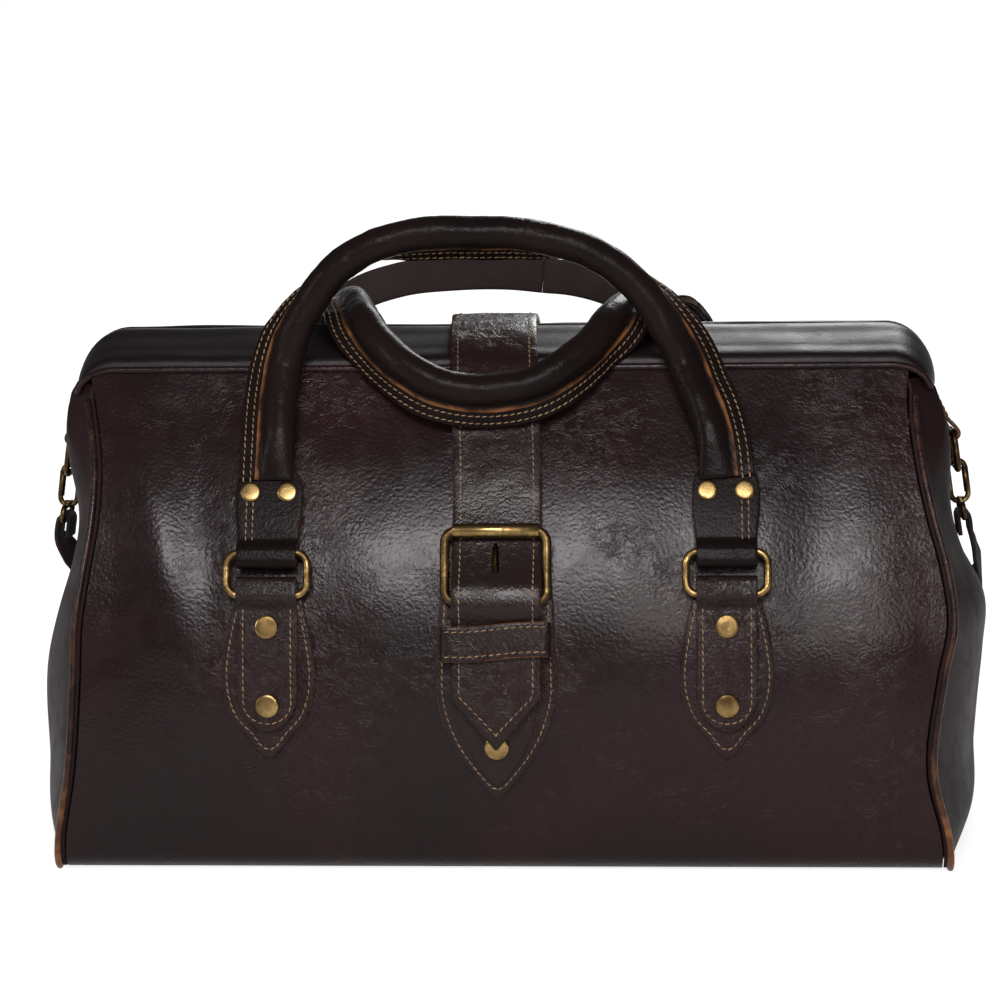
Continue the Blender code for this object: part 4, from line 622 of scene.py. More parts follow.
def ribbon(name, line, half_widths, place, thickness, finish, crown=0.0, lean=None, raw=0.7):
    """Strip of even thickness along a line of (off, along) points, with rounded cut edges."""
    normals = line_normals(line)
    shares = across_shares()
    x = half_widths[:, None] * shares[None, :]
    if lean is not None:
        x = x + lean[:, None]
    lift = thickness * (1.0 - edge_fall(shares, len(line))) * HALF
    swell = crown * (1.0 - shares[None, :] ** 2)
    faces = []
    for stand in (lift + swell, -lift + swell):
        off = line[:, :1] + normals[:, :1] * stand
        faces.append(place(x, off, line[:, 1:] + normals[:, 1:] * stand))
    edge = np.full(x.shape, raw)
    edge[1:-1, 1:-1] = 0.0
    return shell(name, *faces, finish, edge, False)


def swept(name, path, asides, section, finish, closed=False, scales=None, marks=None):
    """Section of (side, lift) points carried along a path, asides giving its side direction."""
    path = np.asarray(path, float)
    if closed:
        ways = unit_rows(np.roll(path, -1, axis=0) - np.roll(path, 1, axis=0))
    else:
        ways = unit_rows(np.gradient(path, axis=0))
    asides = squared(asides, ways)
    lifts = np.cross(ways, asides)
    section = np.asarray(section, float)[None]
    scales = np.ones((len(path), 2)) if scales is None else scales
    points = path[:, None] + asides[:, None] * (section[..., :1] * scales[:, None, :1])
    points = points + lifts[:, None] * (section[..., 1:] * scales[:, None, 1:])
    count = section.shape[1]
    faces = grid_faces(len(path), count, closed_rows=closed, closed_columns=True)
    points = points.reshape(-1, 3)
    values = np.tile(np.zeros(count) if marks is None else marks, len(path))
    if not closed:
        points = np.concatenate([points, path[:1], path[-1:]])
        values = np.concatenate([values, [0.0, 0.0]])
        faces += cap_faces(len(path), count)
    return shaped(name, points, faces, finish, {"edge": values})


def strip_section(half, thick, side, chamfer, inner, count, worn):
    """Flat strip with chamfered corners, and which of its points are cut edges."""
    lower = [(-half, -side), (-half + chamfer, -thick)]
    lower += [(u, -thick) for u in np.linspace(-inner, inner, count)]
    lower += [(half - chamfer, -thick), (half, -side)]
    marks = [1.0, worn] + [0.0] * count + [worn, 1.0]
    return lower + [(-u, -v) for u, v in lower], marks * 2


def circle(radius, count):
    turns = np.arange(count) * FULL_TURN / count
    return np.stack([radius * np.cos(turns), radius * np.sin(turns)], axis=1)


def wire_ring(name, low, high, across, wire, length, corner, finish):
    """Wire loop with straight bars low and high, and rounded corners."""
    height = np.linalg.norm(high - low)
    up = (high - low) / height
    across = np.asarray(across, float)
    half = (length - wire) * HALF
    points = []
    for x_sign, z_sign, order in ((1, 1, 1), (-1, 1, -1), (-1, -1, 1), (1, -1, -1)):
        for t in np.linspace(0.0, QUARTER_TURN, 13)[::order]:
            x = x_sign * (half - corner + corner * math.cos(t))
            z = height * HALF + z_sign * (height * HALF - corner + corner * math.sin(t))
            points.append(low + across * x + up * z)
    points = np.array(points)
    points = points[np.linalg.norm(points - np.roll(points, 1, axis=0), axis=1) > 1e-6]
    loop = even_path(np.concatenate([points, points[:1]]), wire * 0.3)[:-1]
    section = circle(wire * HALF, WIRE_SIDES)
    return swept(name, loop, np.cross(across, up), section, finish, True)


def turned(name, start, way, profile, finish, sides=RIVET_SIDES, closed=False):
    """Solid of revolution from (run, radius) points; closed joins its outline to a ring."""
    way = unit_rows(np.asarray(way, float))
    aside = unit_rows(np.cross(way, (0.0, 0.0, 1.0) if abs(way[2]) < HALF else (1.0, 0.0, 0.0)))
    turns = np.arange(sides) * FULL_TURN / sides
    ring = np.cos(turns)[:, None] * aside + np.sin(turns)[:, None] * np.cross(way, aside)
    rows = [start + way * run + ring * radius for run, radius in profile]
    faces = grid_faces(len(profile), sides, closed_rows=closed, closed_columns=True)
    if not closed:
        rows += [[start + way * profile[0][0]], [start + way * profile[-1][0]]]
        faces += cap_faces(len(profile), sides)
    return shaped(name, np.concatenate(rows), faces, finish)


def folded_line(bore, layer, run, slack, front_run=None):
    """Middle line of a strip folded round a bar at zero, as (off, along), loop at the top."""
    outer, radius = bore + layer, bore + layer * HALF
    front_run = run if front_run is None else front_run
    join = outer * FOLD_JOIN_SHARE
    points = [(-radius, a) for a in np.linspace(-run, 0.0, max(int(run / FINE), 3))][:-1]
    for t in np.linspace(math.pi, 0.0, 22):
        points.append((radius * math.cos(t), slack + radius * math.sin(t)))
    front = -outer + 1.5 * layer
    for s in np.linspace(0.0, 1.0, 9):
        fall = HALF + HALF * math.cos(math.pi * s)
        points.append((front + (radius - front) * fall, -join * s))
    if front_run > join:
        steps = max(int((front_run - join) / FINE), 3)
        points += [(front, a) for a in np.linspace(-join, -front_run, steps)][1:]
    return even_path(points, FINE * HALF)


def sew(body, place, points, off):
    """Keeps a stitch row for later: (across, along) points on a place function, standing off."""
    x, along = even_path(points, SEW_STEP).T
    spot = place(x, off + STITCH_STAND + 0.0 * x, along)
    above = place(x, off + STITCH_STAND + 0.001 + 0.0 * x, along)
    keep_row(body, spot, unit_rows(above - spot))


def keep_row(body, spots, ways):
    STITCH_ROWS.setdefault(body, []).append((spots, ways))


# Materials


def wire(tree, node, values):
    """Sets each input named to its value, or links it where a socket is given."""
    for key, value in values.items():
        if isinstance(value, bpy.types.NodeSocket):
            tree.links.new(value, node.inputs[key])
        else:
            node.inputs[key].default_value = value


def new_node(tree, kind, values=None, **settings):
    made = tree.nodes.new(kind)
    for key, value in settings.items():
        setattr(made, key, value)
    wire(tree, made, values or {})
    return made


def math_node(tree, operation, *values):
    made = new_node(tree, "ShaderNodeMath", dict(enumerate(values)), operation=operation)
    return made.outputs[0]


def ranged(tree, source, low, high, to_low=0.0, to_high=1.0):
    values = {"Value": source, "From Min": low, "From Max": high}
    values.update({"To Min": to_low, "To Max": to_high})
    made = new_node(tree, "ShaderNodeMapRange", values, interpolation_type="SMOOTHSTEP")
    return made.outputs["Result"]


def mixed(tree, share, first, second):
    ends = [(*end, 1.0) if isinstance(end, tuple) else end for end in (first, second)]
    values = {0: share, 6: ends[0], 7: ends[1]}
    return new_node(tree, "ShaderNodeMix", values, data_type="RGBA").outputs[2]


def object_spot(tree):
    return new_node(tree, "ShaderNodeTexCoord").outputs["Object"]


def cloud(tree, spot, scale, detail, **more):
    """Noise over the points given, from 0 to 1."""
    values = {"Vector": spot, "Scale": scale, "Detail": detail, **more}
    return new_node(tree, "ShaderNodeTexNoise", values).outputs["Fac"]


def bumped(tree, height, strength, distance):
    values = {"Height": height, "Strength": strength, "Distance": distance}
    return new_node(tree, "ShaderNodeBump", values).outputs["Normal"]


def painted(name, paint):
    """The material of this name, painted when it is first asked for."""
    made = bpy.data.materials.get(name)
    if made is None:
        made = bpy.data.materials.new(name)
        made.use_nodes = True
        tree = made.node_tree
        wire(tree, tree.nodes["Principled BSDF"], paint(tree))
    return made


def group_socket(tree, name, kind, default=None, way="INPUT"):
    socket = tree.interface.new_socket(name, in_out=way, socket_type=kind)
    if default is not None:
        socket.default_value = default


def grain_group():
    """Leather skin: fine pebbles, creases and slow changes of tone, over object space."""
    found = bpy.data.node_groups.get("Leather skin")
    if found:
        return found
    tree = bpy.data.node_groups.new("Leather skin", "ShaderNodeTree")
    for name, default in (("Pebble Scale", 900.0), ("Crease Scale", 42.0), ("Creases", 0.5)):
        group_socket(tree, name, "NodeSocketFloat", default)
    for name in ("Height", "Tone", "Rub"):
        group_socket(tree, name, "NodeSocketFloat", way="OUTPUT")
    given = new_node(tree, "NodeGroupInput").outputs
    spot = object_spot(tree)
    bend = new_node(tree, "ShaderNodeTexNoise", {"Vector": spot, "Scale": 160.0, "Detail": 2.0})
    values = {0: bend.outputs["Color"], 3: 0.0035}
    warp = new_node(tree, "ShaderNodeVectorMath", values, operation="SCALE")
    moved = new_node(tree, "ShaderNodeVectorMath", {0: spot, 1: warp.outputs[0]}, operation="ADD")
    values = {"Vector": moved.outputs[0], "Scale": given["Pebble Scale"], "Randomness": 0.95}
    pebble = new_node(tree, "ShaderNodeTexVoronoi", values, feature="SMOOTH_F1")
    crease = cloud(tree, spot, given["Crease Scale"], 5.0, Distortion=1.1, Roughness=0.62)
    off = math_node(tree, "ABSOLUTE", math_node(tree, "SUBTRACT", crease, 0.5))
    lines = math_node(tree, "SUBTRACT", 1.0, ranged(tree, off, 0.0, 0.10))
    area = ranged(tree, cloud(tree, spot, 14.0, 2.0), 0.42, 0.66)
    fold = math_node(tree, "MULTIPLY", lines, math_node(tree, "MULTIPLY", area, given["Creases"]))
    bumps = math_node(tree, "MULTIPLY", pebble.outputs["Distance"], 0.55)
    height = math_node(tree, "SUBTRACT", math_node(tree, "SUBTRACT", 1.0, bumps), fold)
    tone = ranged(tree, cloud(tree, spot, 7.5, 4.0, Roughness=0.55), 0.35, 0.7)
    rub = ranged(tree, cloud(tree, spot, 60.0, 4.0, Roughness=0.55, Distortion=0.8), 0.32, 0.72)
    new_node(tree, "NodeGroupOutput", {"Height": height, "Tone": tone, "Rub": rub})
    return tree


def leather(name):
    """Waxed leather with its cut edges, its flesh side and its grain."""
    *colours, gloss, pebble, crease, creases, depth, shine = LEATHERS[name]
    settings = bpy.context.scene.bag_leather

    def paint(tree):
        values = {"Pebble Scale": pebble, "Crease Scale": crease, "Creases": creases}
        skin = new_node(tree, "ShaderNodeGroup", node_tree=grain_group())
        wire(tree, skin, values)
        height, tone, rub = (skin.outputs[key] for key in ("Height", "Tone", "Rub"))
        base, warm, edge = (tuple(getattr(settings, key + "_colour")) for key in colours)
        rim = new_node(tree, "ShaderNodeAttribute", attribute_name="edge").outputs["Fac"]
        back = new_node(tree, "ShaderNodeAttribute", attribute_name="flesh").outputs["Fac"]
        patchy = math_node(tree, "ADD", math_node(tree, "MULTIPLY", rub, 0.55), 0.55)
        worn = ranged(tree, math_node(tree, "MULTIPLY", rim, patchy), 0.3, 1.0)
        worn = math_node(tree, "MULTIPLY", worn, ranged(tree, rim, 0.0, 0.5))
        colour = mixed(tree, worn, mixed(tree, tone, base, warm), edge)
        rough = ranged(tree, rub, 0.0, 1.0, gloss, gloss + 0.07)
        rough = math_node(tree, "ADD", rough, math_node(tree, "MULTIPLY", back, 0.4))
        return {
            "Base Color": mixed(tree, back, colour, tuple(settings.flesh_colour)),
            "Roughness": rough,
            "Normal": bumped(tree, height, 1.0, depth),
            "Specular IOR Level": settings.shine * shine,
        }

    return painted(name, paint)


def brass(name):
    """Brass with dark patina in patches and brighter rubbed metal, its colours darkened by the
    brass's share, which on the prong is painted shade.
    """
    polish, shade, patches = BRASSES[name]
    settings = bpy.context.scene.bag_metal

    def paint(tree):
        spot = object_spot(tree)
        patina = cloud(tree, spot, patches, 5.0, Roughness=0.65)
        share = ranged(tree, patina, 0.30 + polish * 0.3, 0.58 + polish * 0.3)
        # The share darkens every colour; for the prong's brass this darkening is painted shade
        rubbed = tuple(part * shade for part in settings.brass_colour)
        dull = tuple(part * shade for part in settings.patina_colour)
        return {
            "Base Color": mixed(tree, share, rubbed, dull),
            "Metallic": 1.0,
            "Roughness": ranged(tree, share, 0.0, 1.0, 0.24, 0.46),
            "Normal": bumped(tree, cloud(tree, spot, 900.0, 3.0), 0.5, 0.00005),
        }

    return painted(name, paint)


def thread():
    light = tuple(bpy.context.scene.bag_sewing.thread_colour)
    dark = tuple(part * 0.45 for part in light)

    def paint(tree):
        share = ranged(tree, cloud(tree, object_spot(tree), 240.0, 3.0), 0.35, 0.65)
        return {"Base Color": mixed(tree, share, light, dark), "Roughness": 0.6}

    return painted("waxed_thread", paint)


def plain_steel():
    def paint(tree):
        values = {"Vector": object_spot(tree), "Scale": (20.0, 900.0, 900.0)}
        brushed = new_node(tree, "ShaderNodeMapping", values).outputs[0]
        share = cloud(tree, brushed, 1.0, 3.0)
        return {
            "Base Color": mixed(tree, share, (0.34, 0.34, 0.33), (0.52, 0.51, 0.50)),
            "Metallic": 1.0,
            "Roughness": ranged(tree, share, 0.0, 1.0, 0.3, 0.5),
        }

    return painted("frame_steel", paint)


def fibre_board():
    def paint(tree):
        fibres = cloud(tree, object_spot(tree), 320.0, 6.0, Distortion=2.0)
        return {
            "Base Color": mixed(tree, fibres, (0.16, 0.10, 0.06), (0.30, 0.21, 0.13)),
            "Roughness": 0.85,
            "Normal": bumped(tree, fibres, 0.6, 0.0002),
        }

    return painted("pressed_board", paint)


def finish_node(name, material):
    """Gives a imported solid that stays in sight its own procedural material."""
    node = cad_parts[name]
    node.data.materials.clear()
    node.data.materials.append(material)


# Walls, gussets, base


def cover_edge_drop(x):
    reach = FRAME_END_REACH * (1.0 - COVER_EDGE_DRAW)
    past = np.clip((np.abs(x) - FRAME_HALF_LENGTH) / reach, 0.0, 1.0)
    rise = (FRAME_TOP - COVER_FOOT) * COVER_PATH_Z_SHARES[0]
    return rise * (1.0 - np.sqrt(1.0 - past**2))


def bell(distance, spread):
    return np.exp(-HALF * (distance / spread) ** 2)


def dents(x, z, table):
    return sum(
        depth * bell(x - across, wide) * bell(z - high, tall)
        for depth, across, wide, high, tall in table
    )


def wall_relief(x, z, side):
    """Dents and slack of the leather, none where a patch or a strap lies on it."""
    slack = WALL_SLACK * noise_over(x * 11.0, side * 3.1, z * 15.0)
    slack += WALL_SLACK * 0.35 * noise_over(x * 34.0, side * 7.7, z * 40.0)
    if side == FRONT:
        slack += dents(x - (-0.196 + 0.30 * (0.235 - z)), z, SLANT_DENTS)
        slack += dents(x, z, FRONT_DENTS)
    under_strap = bell(x, 0.030)
    under_tabs = bell(np.abs(x) - RING_SPACING * HALF, 0.026) * bell(z - 0.135, 0.062)
    calm = np.clip(under_strap * 1.6, 0.0, 1.0) + np.clip(under_tabs * 1.6, 0.0, 1.0)
    seam = np.minimum(half_length(z, RIGHT) - x, half_length(z, LEFT) + x)
    rim = np.clip(seam / 0.02, 0.0, 1.0) * np.clip(z / 0.03, 0.0, 1.0)
    rim *= np.clip((0.262 - z) / 0.02, 0.0, 1.0)
    return slack * rim * (1.0 - np.clip(calm, 0.0, 1.0))


def soft_follow(obj, side):
    """Bakes the leather's placement into its mesh; the points where its upper part would start and
    end following the jaw are made but not used.
    """
    start, end = ((0.0, side * y, z) for y, z in (SOFT_START, SOFT_END))
    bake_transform(obj)
    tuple(start)
    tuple(end)


def rounded_levels(top, count):
    """Heights from the floor to the top, close together round the bottom edge."""
    low = BOTTOM_ROUNDING * (1.0 - np.cos(np.linspace(0.0, QUARTER_TURN, 8)))
    return np.concatenate([low, np.linspace(BOTTOM_ROUNDING, top, count)[1:]])


def build_wall(side_name, side):
    inset = WALL_THICKNESS + CLEARANCE
    top = PIPING_HEIGHT - COVER_THICKNESS - CLEARANCE
    levels = rounded_levels(top, 120)
    share_up = np.clip((levels - WALL_TOP_RIGID) / (top - WALL_TOP_RIGID), 0.0, 1.0)[:, None]
    left = inset - half_length(levels, LEFT)[:, None]
    right = half_length(levels, RIGHT)[:, None] - inset
    x = (left + right) * HALF + (right - left) * HALF * rimmed(-1.0, 1.0, 190, 0.002)
    z = levels[:, None] - share_up * cover_edge_drop(x)
    outer = on_wall(x, z, wall_relief(x, z, side), side)
    outer[0, :, 2] = 0.0
    inner = outer - WALL_THICKNESS * grid_normals(outer, (0.0, 0.0, 0.13))
    inner[0, :, 2] = 0.0
    name = "body_" + side_name
    wall = shell(name, outer, inner, leather("wall_leather"), np.zeros(x.shape))
    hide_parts("wall_" + side_name, "wall_top_" + side_name)
    soft_follow(wall, side)


def gusset_folds(y, z, end):
    """Slack of the gusset: puffs beside the tab, a fold down its middle and uneven dents."""
    puff = bell(np.abs(y) - PUFF_PLACE, PUFF_SPREAD) * bell(z - PUFF_HEIGHT, PUFF_RISE)
    fold = GUSSET_PUFF * puff - GUSSET_FOLD * bell(y, 0.012) * bell(z - 0.205, 0.03)
    uneven = 0.0016 * noise_over(end * 5.3, y * 22.0, z * 18.0)
    rim = np.clip((edge_depth(z) - np.abs(y)) / 0.02, 0.0, 1.0) * np.clip(z / 0.03, 0.0, 1.0)
    return (fold + uneven * np.clip((0.25 - z) / 0.02, 0.0, 1.0)) * rim


def build_gusset_half(end_name, end, side_name, side):
    """Front or back half of a gusset, split at its middle."""
    levels = rounded_levels(GUSSET_HEM, 116)
    shares = side * np.concatenate([np.linspace(0.0, 0.995, 40), [1.0]])
    z, s = np.meshgrid(levels, shares, indexing="ij")
    y = s * edge_depth(z)
    tuck = np.clip((z - COVER_FOOT) / (GUSSET_HEM - COVER_FOOT), 0.0, 1.0) * COVER_THICKNESS
    reach = gusset_reach(z, s, end) + gusset_folds(y, z, end) - tuck
    outer = stacked(end * reach, y, z)
    outer[0, :, 2] = 0.0
    inner = outer - WALL_THICKNESS * grid_normals(outer, (0.0, 0.0, 0.12))
    inner[:, :, 2] = outer[:, :, 2]
    inner[:, 0, 1] = 0.0
    edge = np.zeros(z.shape)
    edge[-1] = 0.4
    name = "gusset_" + side_name + "_" + end_name
    half = shell(name, outer, inner, leather("gusset_leather"), edge)
    if side == FRONT:
        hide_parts("gusset_" + end_name, "gusset_top_" + end_name)
    soft_follow(half, side)


def build_welt(end_name, end, side_name, side):
    """Sewn ridge along the seam between a wall and a gusset, worn through to tan in places."""
    stand = (WELT_RADIUS + CLEARANCE) * math.sqrt(HALF) * 0.8
    z = np.linspace(WELT_RADIUS, GUSSET_TOP, 150)
    path = stacked(end * (half_length(z, end) + stand), side * (edge_depth(z) + stand), z)
    swell = 1.0 + 0.12 * noise_over(z * 90.0, end, side)
    scales = np.stack([swell, swell], axis=1)
    section = circle(WELT_RADIUS, 12)
    name = "seam_" + side_name + "_" + end_name
    aside = (1.0, 0.0, 0.0)
    welt = swept(name, path, aside, section, leather("wall_leather"), scales=scales)
    wear = np.repeat(0.45 + 0.5 * bell(z - 0.025, 0.022), len(section))
    values = np.concatenate([wear, [0.5, 0.5]]).astype(np.float32)
    welt.data.attributes["edge"].data.foreach_set("value", values)
    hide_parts("welt_" + side_name + "_" + end_name)
    soft_follow(welt, side)


def build_base():
    inset = WALL_THICKNESS + CLEARANCE
    half_y = float(edge_depth(0.0)) - CLEARANCE - WALL_THICKNESS * HALF
    shares = np.linspace(-1.0, 1.0, 61)
    right = [(float(gusset_reach(0.0, s, RIGHT)) - inset, s * half_y) for s in shares]
    left = [(inset - float(gusset_reach(0.0, s, LEFT)), s * half_y) for s in shares[::-1]]
    outline = np.array(right + left)
    chamfer = 0.0007
    rows = []
    for z, pull in ((0.0, chamfer), (chamfer, 0.0), (BASE_THICKNESS, 0.0)):
        towards = outline * (1.0 - pull / np.linalg.norm(outline, axis=1, keepdims=True))
        rows.append(np.column_stack([towards, np.full(len(outline), z)]))
    points = np.concatenate(rows + [[(0.0, 0.0, 0.0)], [(0.0, 0.0, BASE_THICKNESS)]])
    faces = grid_faces(len(rows), len(outline), closed_columns=True)
    faces += cap_faces(len(rows), len(outline))
    base = shaped("base", points, faces, leather("wall_leather"))
    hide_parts("base_leather")
    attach(base, "bag")
    finish_node("base_board", fibre_board())


# Mouth


def cover_rows(side):
    rise = FRAME_TOP - COVER_FOOT
    shares = np.stack([COVER_PATH_Y_SHARES, COVER_PATH_Z_SHARES], axis=1)
    turns = np.linspace(QUARTER_TURN, 0.0, 14)
    middle = np.linspace(FRAME_HALF_LENGTH, -FRAME_HALF_LENGTH, 110)
    grid = []
    for y, high in smooth_path(shares * (COVER_HALF_DEPTH, rise), 0.0012):
        reach = FRAME_END_REACH * (1.0 - COVER_EDGE_DRAW * min(y / COVER_HALF_DEPTH, 1.0) ** 2)
        ends = [(FRAME_HALF_LENGTH + reach * math.sin(t), high * math.cos(t)) for t in turns]
        row = ends + [(x, high) for x in middle[1:-1]] + [(-x, z) for x, z in reversed(ends)]
        grid.append([(x, side * y, COVER_FOOT + z) for x, z in row])
    return np.array(grid)


def build_cover(side_name, side):
    outer = cover_rows(side)
    rows, columns = outer.shape[:2]
    slack = noise_over(outer[..., 0] * 26.0, outer[..., 1] * 40.0, side * 2.0)
    rim = np.minimum(np.arange(columns), np.arange(columns)[::-1]) / 12.0
    fall = np.clip(np.arange(rows) / 6.0, 0.0, 1.0)[:, None]
    normals = grid_normals(outer, (0.0, side * 0.02, 0.225))
    outer = outer + normals * (0.0006 * slack * np.clip(rim, 0.0, 1.0) * fall)[..., None]
    edge = np.zeros((rows, columns))
    edge[-1] = 0.5
    inner = outer - COVER_THICKNESS * normals
    cover = shell("mouth_" + side_name, outer, inner, leather("frame_leather"), edge)
    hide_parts("jaw_cover_" + side_name)
    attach(cover, side_name + "_jaw")
    path = even_path(outer[0] + normals[0] * PIPING_RADIUS * 0.1, 0.003)
    aside, section = (0.0, side * 0.2, 1.0), circle(PIPING_RADIUS, 14)
    piping = swept("piping_" + side_name, path, aside, section, leather("wall_leather"))
    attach(piping, side_name + "_jaw")
    finish_node("jaw_" + side_name, plain_steel())


# Rings, tabs and patches


def tab_bore():
    return RING_WIRE * HALF + RING_PLAY


def tab_centre_offset():
    return CLEARANCE + PATCH_THICKNESS + CLEARANCE + tab_bore() + TAB_LAYER


def ring_middle(end):
    return end * RING_SPACING * HALF


def ring_low(end, side):
    return on_wall(ring_middle(end), RING_BAR_HEIGHT, tab_centre_offset(), side)


def height_at_reach(low, x, start, offset, reach, side):
    """Height above the start at which a point off the wall is this far from the low one."""
    heights = np.linspace(start, start + reach + reach, 4000)
    away = np.linalg.norm(on_wall(x, heights, offset, side) - low, axis=1)
    return float(np.interp(reach, away, heights))


def ring_high_height(end, side):
    low, pitch = ring_low(end, side), RING_HEIGHT - RING_WIRE
    return height_at_reach(low, ring_middle(end), RING_BAR_HEIGHT, RING_UPPER_OFFSET, pitch, side)


def ring_high(end, side):
    return on_wall(ring_middle(end), ring_high_height(end, side), RING_UPPER_OFFSET, side)


def wall_frame(middle, anchor, offset, side, turn=1.0):
    """Puts (across, off, along) points on a wall, along counted up from the anchor height."""

    def place(across, off, along):
        return on_wall(middle + across, height_after(anchor, turn * along), offset + off, side)

    return place


def level_frame(middle, side):
    """Puts (across, off, height) points on a wall."""

    def place(across, off, z):
        return on_wall(middle + across, z, off, side)

    return place


def table_rows(low, high, row_shares, width_shares, half_width, count=70):
    """Rows of (height, left, right) of a leaf outline, close together near both ends."""
    shares = rimmed(0.0, 1.0, count, 0.006)
    widths = np.clip(smooth_value(row_shares, width_shares, shares), 0.01, None) * half_width
    return np.stack([low + (high - low) * shares, -widths, widths], axis=1)


def sew_leaf(place, rows, high):
    """Stitches along the outline of a leaf, in from its cut edge, open at the top."""
    z, half = rows[:, 0], rows[:, 2]
    pull = PATCH_STITCH_INSET * np.sqrt(1.0 + np.gradient(half, z) ** 2)
    wide = np.clip(half - np.minimum(pull, PATCH_STITCH_INSET * 2.4), 0.0, None)
    keep = (z > z[0] + PATCH_STITCH_TIP) & (z < z[-1] - 0.001)
    z, wide = z[keep], wide[keep]
    tip = [[0.0, z[0] - wide[0] * HALF]]
    sides = [np.stack([sign * wide, z], axis=1) for sign in (-1.0, 1.0)]
    sew("bag", place, np.concatenate([sides[0][::-1], tip, sides[1]]), high)


def build_patch(where, end, side):
    rows = table_rows(PATCH_TIP, PATCH_TOP, PATCH_ROW_SHARES, PATCH_WIDTH_SHARES, PATCH_HALF_WIDTH)
    place = level_frame(ring_middle(end), side)
    high = CLEARANCE + PATCH_THICKNESS
    finish = leather("strap_leather")
    patch = slab("patch_" + where, rows, place, CLEARANCE * HALF, high, finish)
    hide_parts("leaf_patch_" + where)
    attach(patch, "bag")
    sew_leaf(place, rows, high)


def build_tab(where, end, side):
    run = float(arc_of(RING_BAR_HEIGHT) - arc_of(TAB_FOOT))
    place = wall_frame(ring_middle(end), RING_BAR_HEIGHT, tab_centre_offset(), side)
    line = folded_line(tab_bore(), TAB_LAYER, run, TAB_SLACK)
    shares = np.clip(-line[:, 1] / run, 0.0, 1.0)
    half = TAB_WIDTH * HALF * np.interp(shares, TAB_ROW_SHARES[::-1], TAB_WIDTH_SHARES[::-1])
    tab = ribbon("tab_" + where, line, half, place, TAB_LAYER, leather("strap_leather"))
    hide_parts("ring_tab_" + where)
    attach(tab, "bag")
    outer = tab_bore() + TAB_LAYER
    wide = TAB_WIDTH * HALF - TAB_STITCH_INSET
    low = -run + 0.0035 + TAB_STITCH_ROUND
    turns = np.linspace(0.0, math.pi, 20)
    row = [(wide * math.cos(t), low - TAB_STITCH_ROUND * math.sin(t)) for t in turns]
    start = -outer * FOLD_JOIN_SHARE
    sew("bag", place, [(wide, start)] + row + [(-wide, start)], 2.0 * TAB_LAYER - outer)


def build_ring(where, end, side):
    low, high, across = ring_low(end, side), ring_high(end, side), (1.0, 0.0, 0.0)
    sizes = (RING_WIRE, RING_LENGTH, RING_CORNER)
    ring = wire_ring("handle_ring_" + where, low, high, across, *sizes, brass("aged_brass"))
    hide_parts("ring_" + where)
    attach(ring, ("front" if side == FRONT else "back") + "_rings")


def rivet_spots():
    """Foot, direction and radius of every rivet head, for each body, with the nodes they are."""
    found = {"bag": [], "front_handle": [], "back_handle": []}
    nodes = {"bag": ["chape_rivet"], "front_handle": [], "back_handle": []}
    tab_face = CLEARANCE * 2.0 + PATCH_THICKNESS + 2.0 * TAB_LAYER
    handle_face = RING_UPPER_OFFSET - RING_WIRE * HALF - CLEARANCE + HANDLE_LAYER

    def add(body, x, z, stand, side, radius, *words):
        found[body].append((on_wall(x, z, stand, side), wall_normal(x, z, side), radius))
        if words and side == FRONT:
            nodes[body].append("_".join(words))

    for side_name, side in SIDES.items():
        for end_name, end in ENDS.items():
            middle = ring_middle(end)
            for place, z in zip(("upper", "lower"), TAB_RIVET_HEIGHTS):
                words = ("tab_rivet", side_name, end_name, place)
                add("bag", middle, z, tab_face - 0.0003, side, RIVET_RADIUS, *words)
            for place, shift in (("outer", HALF), ("inner", -HALF)):
                x = middle + end * HANDLE_RIVET_SPACING * shift
                radius = RIVET_RADIUS * HANDLE_RIVET_SHARE
                words = ("handle_rivet", side_name, end_name, place)
                stand = handle_face - 0.0003
                add(side_name + "_handle", x, HANDLE_RIVET_HEIGHT, stand, side, radius, *words)
    add("bag", 0.0, STRAP_TIP, keeper_floor() - 0.0002, FRONT, CAP_RADIUS)
    return found, nodes


# Handles


def roll_section():
    """Roll with the sewn flange on its side, and which of its points are cut edges."""
    half = HANDLE_FLANGE_HALF
    root = math.asin((half + 0.0009) / HANDLE_ROLL)
    turns = np.linspace(root, FULL_TURN - root, ROLL_SIDES)
    points = [(HANDLE_ROLL * math.cos(t), HANDLE_ROLL * math.sin(t)) for t in turns]
    tip = HANDLE_ROLL + HANDLE_FLANGE
    step = HANDLE_ROLL + 0.0026
    under = [(step - 0.0016, -half - 0.0010), (step, -half - 0.0004), (step + 0.0004, -half)]
    cut = [(tip - 0.0005, -half), (tip, -half * 0.7), (tip - 0.0003, -half * 0.06)]
    cut += [(tip - 0.0003, half * 0.06), (tip, half * 0.7), (tip - 0.0005, half)]
    over = [(step + 0.0004, half), (step, half + 0.0004), (step - 0.0016, half + 0.0010)]
    marks = [0.2] + [0.0] * (len(points) - 2) + [0.2] + [0.6, 1.0, 0.05]
    marks += [0.1, 0.55, 0.7, 0.7, 0.55, 0.1] + [0.05, 1.0, 0.6]
    return np.array(points + under + cut + over), marks


def leg_points(half, shares, top, side, end):
    points = []
    for along, wide in shares:
        z = HANDLE_ROLL_START + (top - HANDLE_ROLL_START) * along
        sunk = HANDLE_SINK * (1.0 - min(along / shares[1][0], 1.0))
        points.append(on_wall(end * half * wide, z - sunk, LEG_OFFSET - sunk, side))
    return points


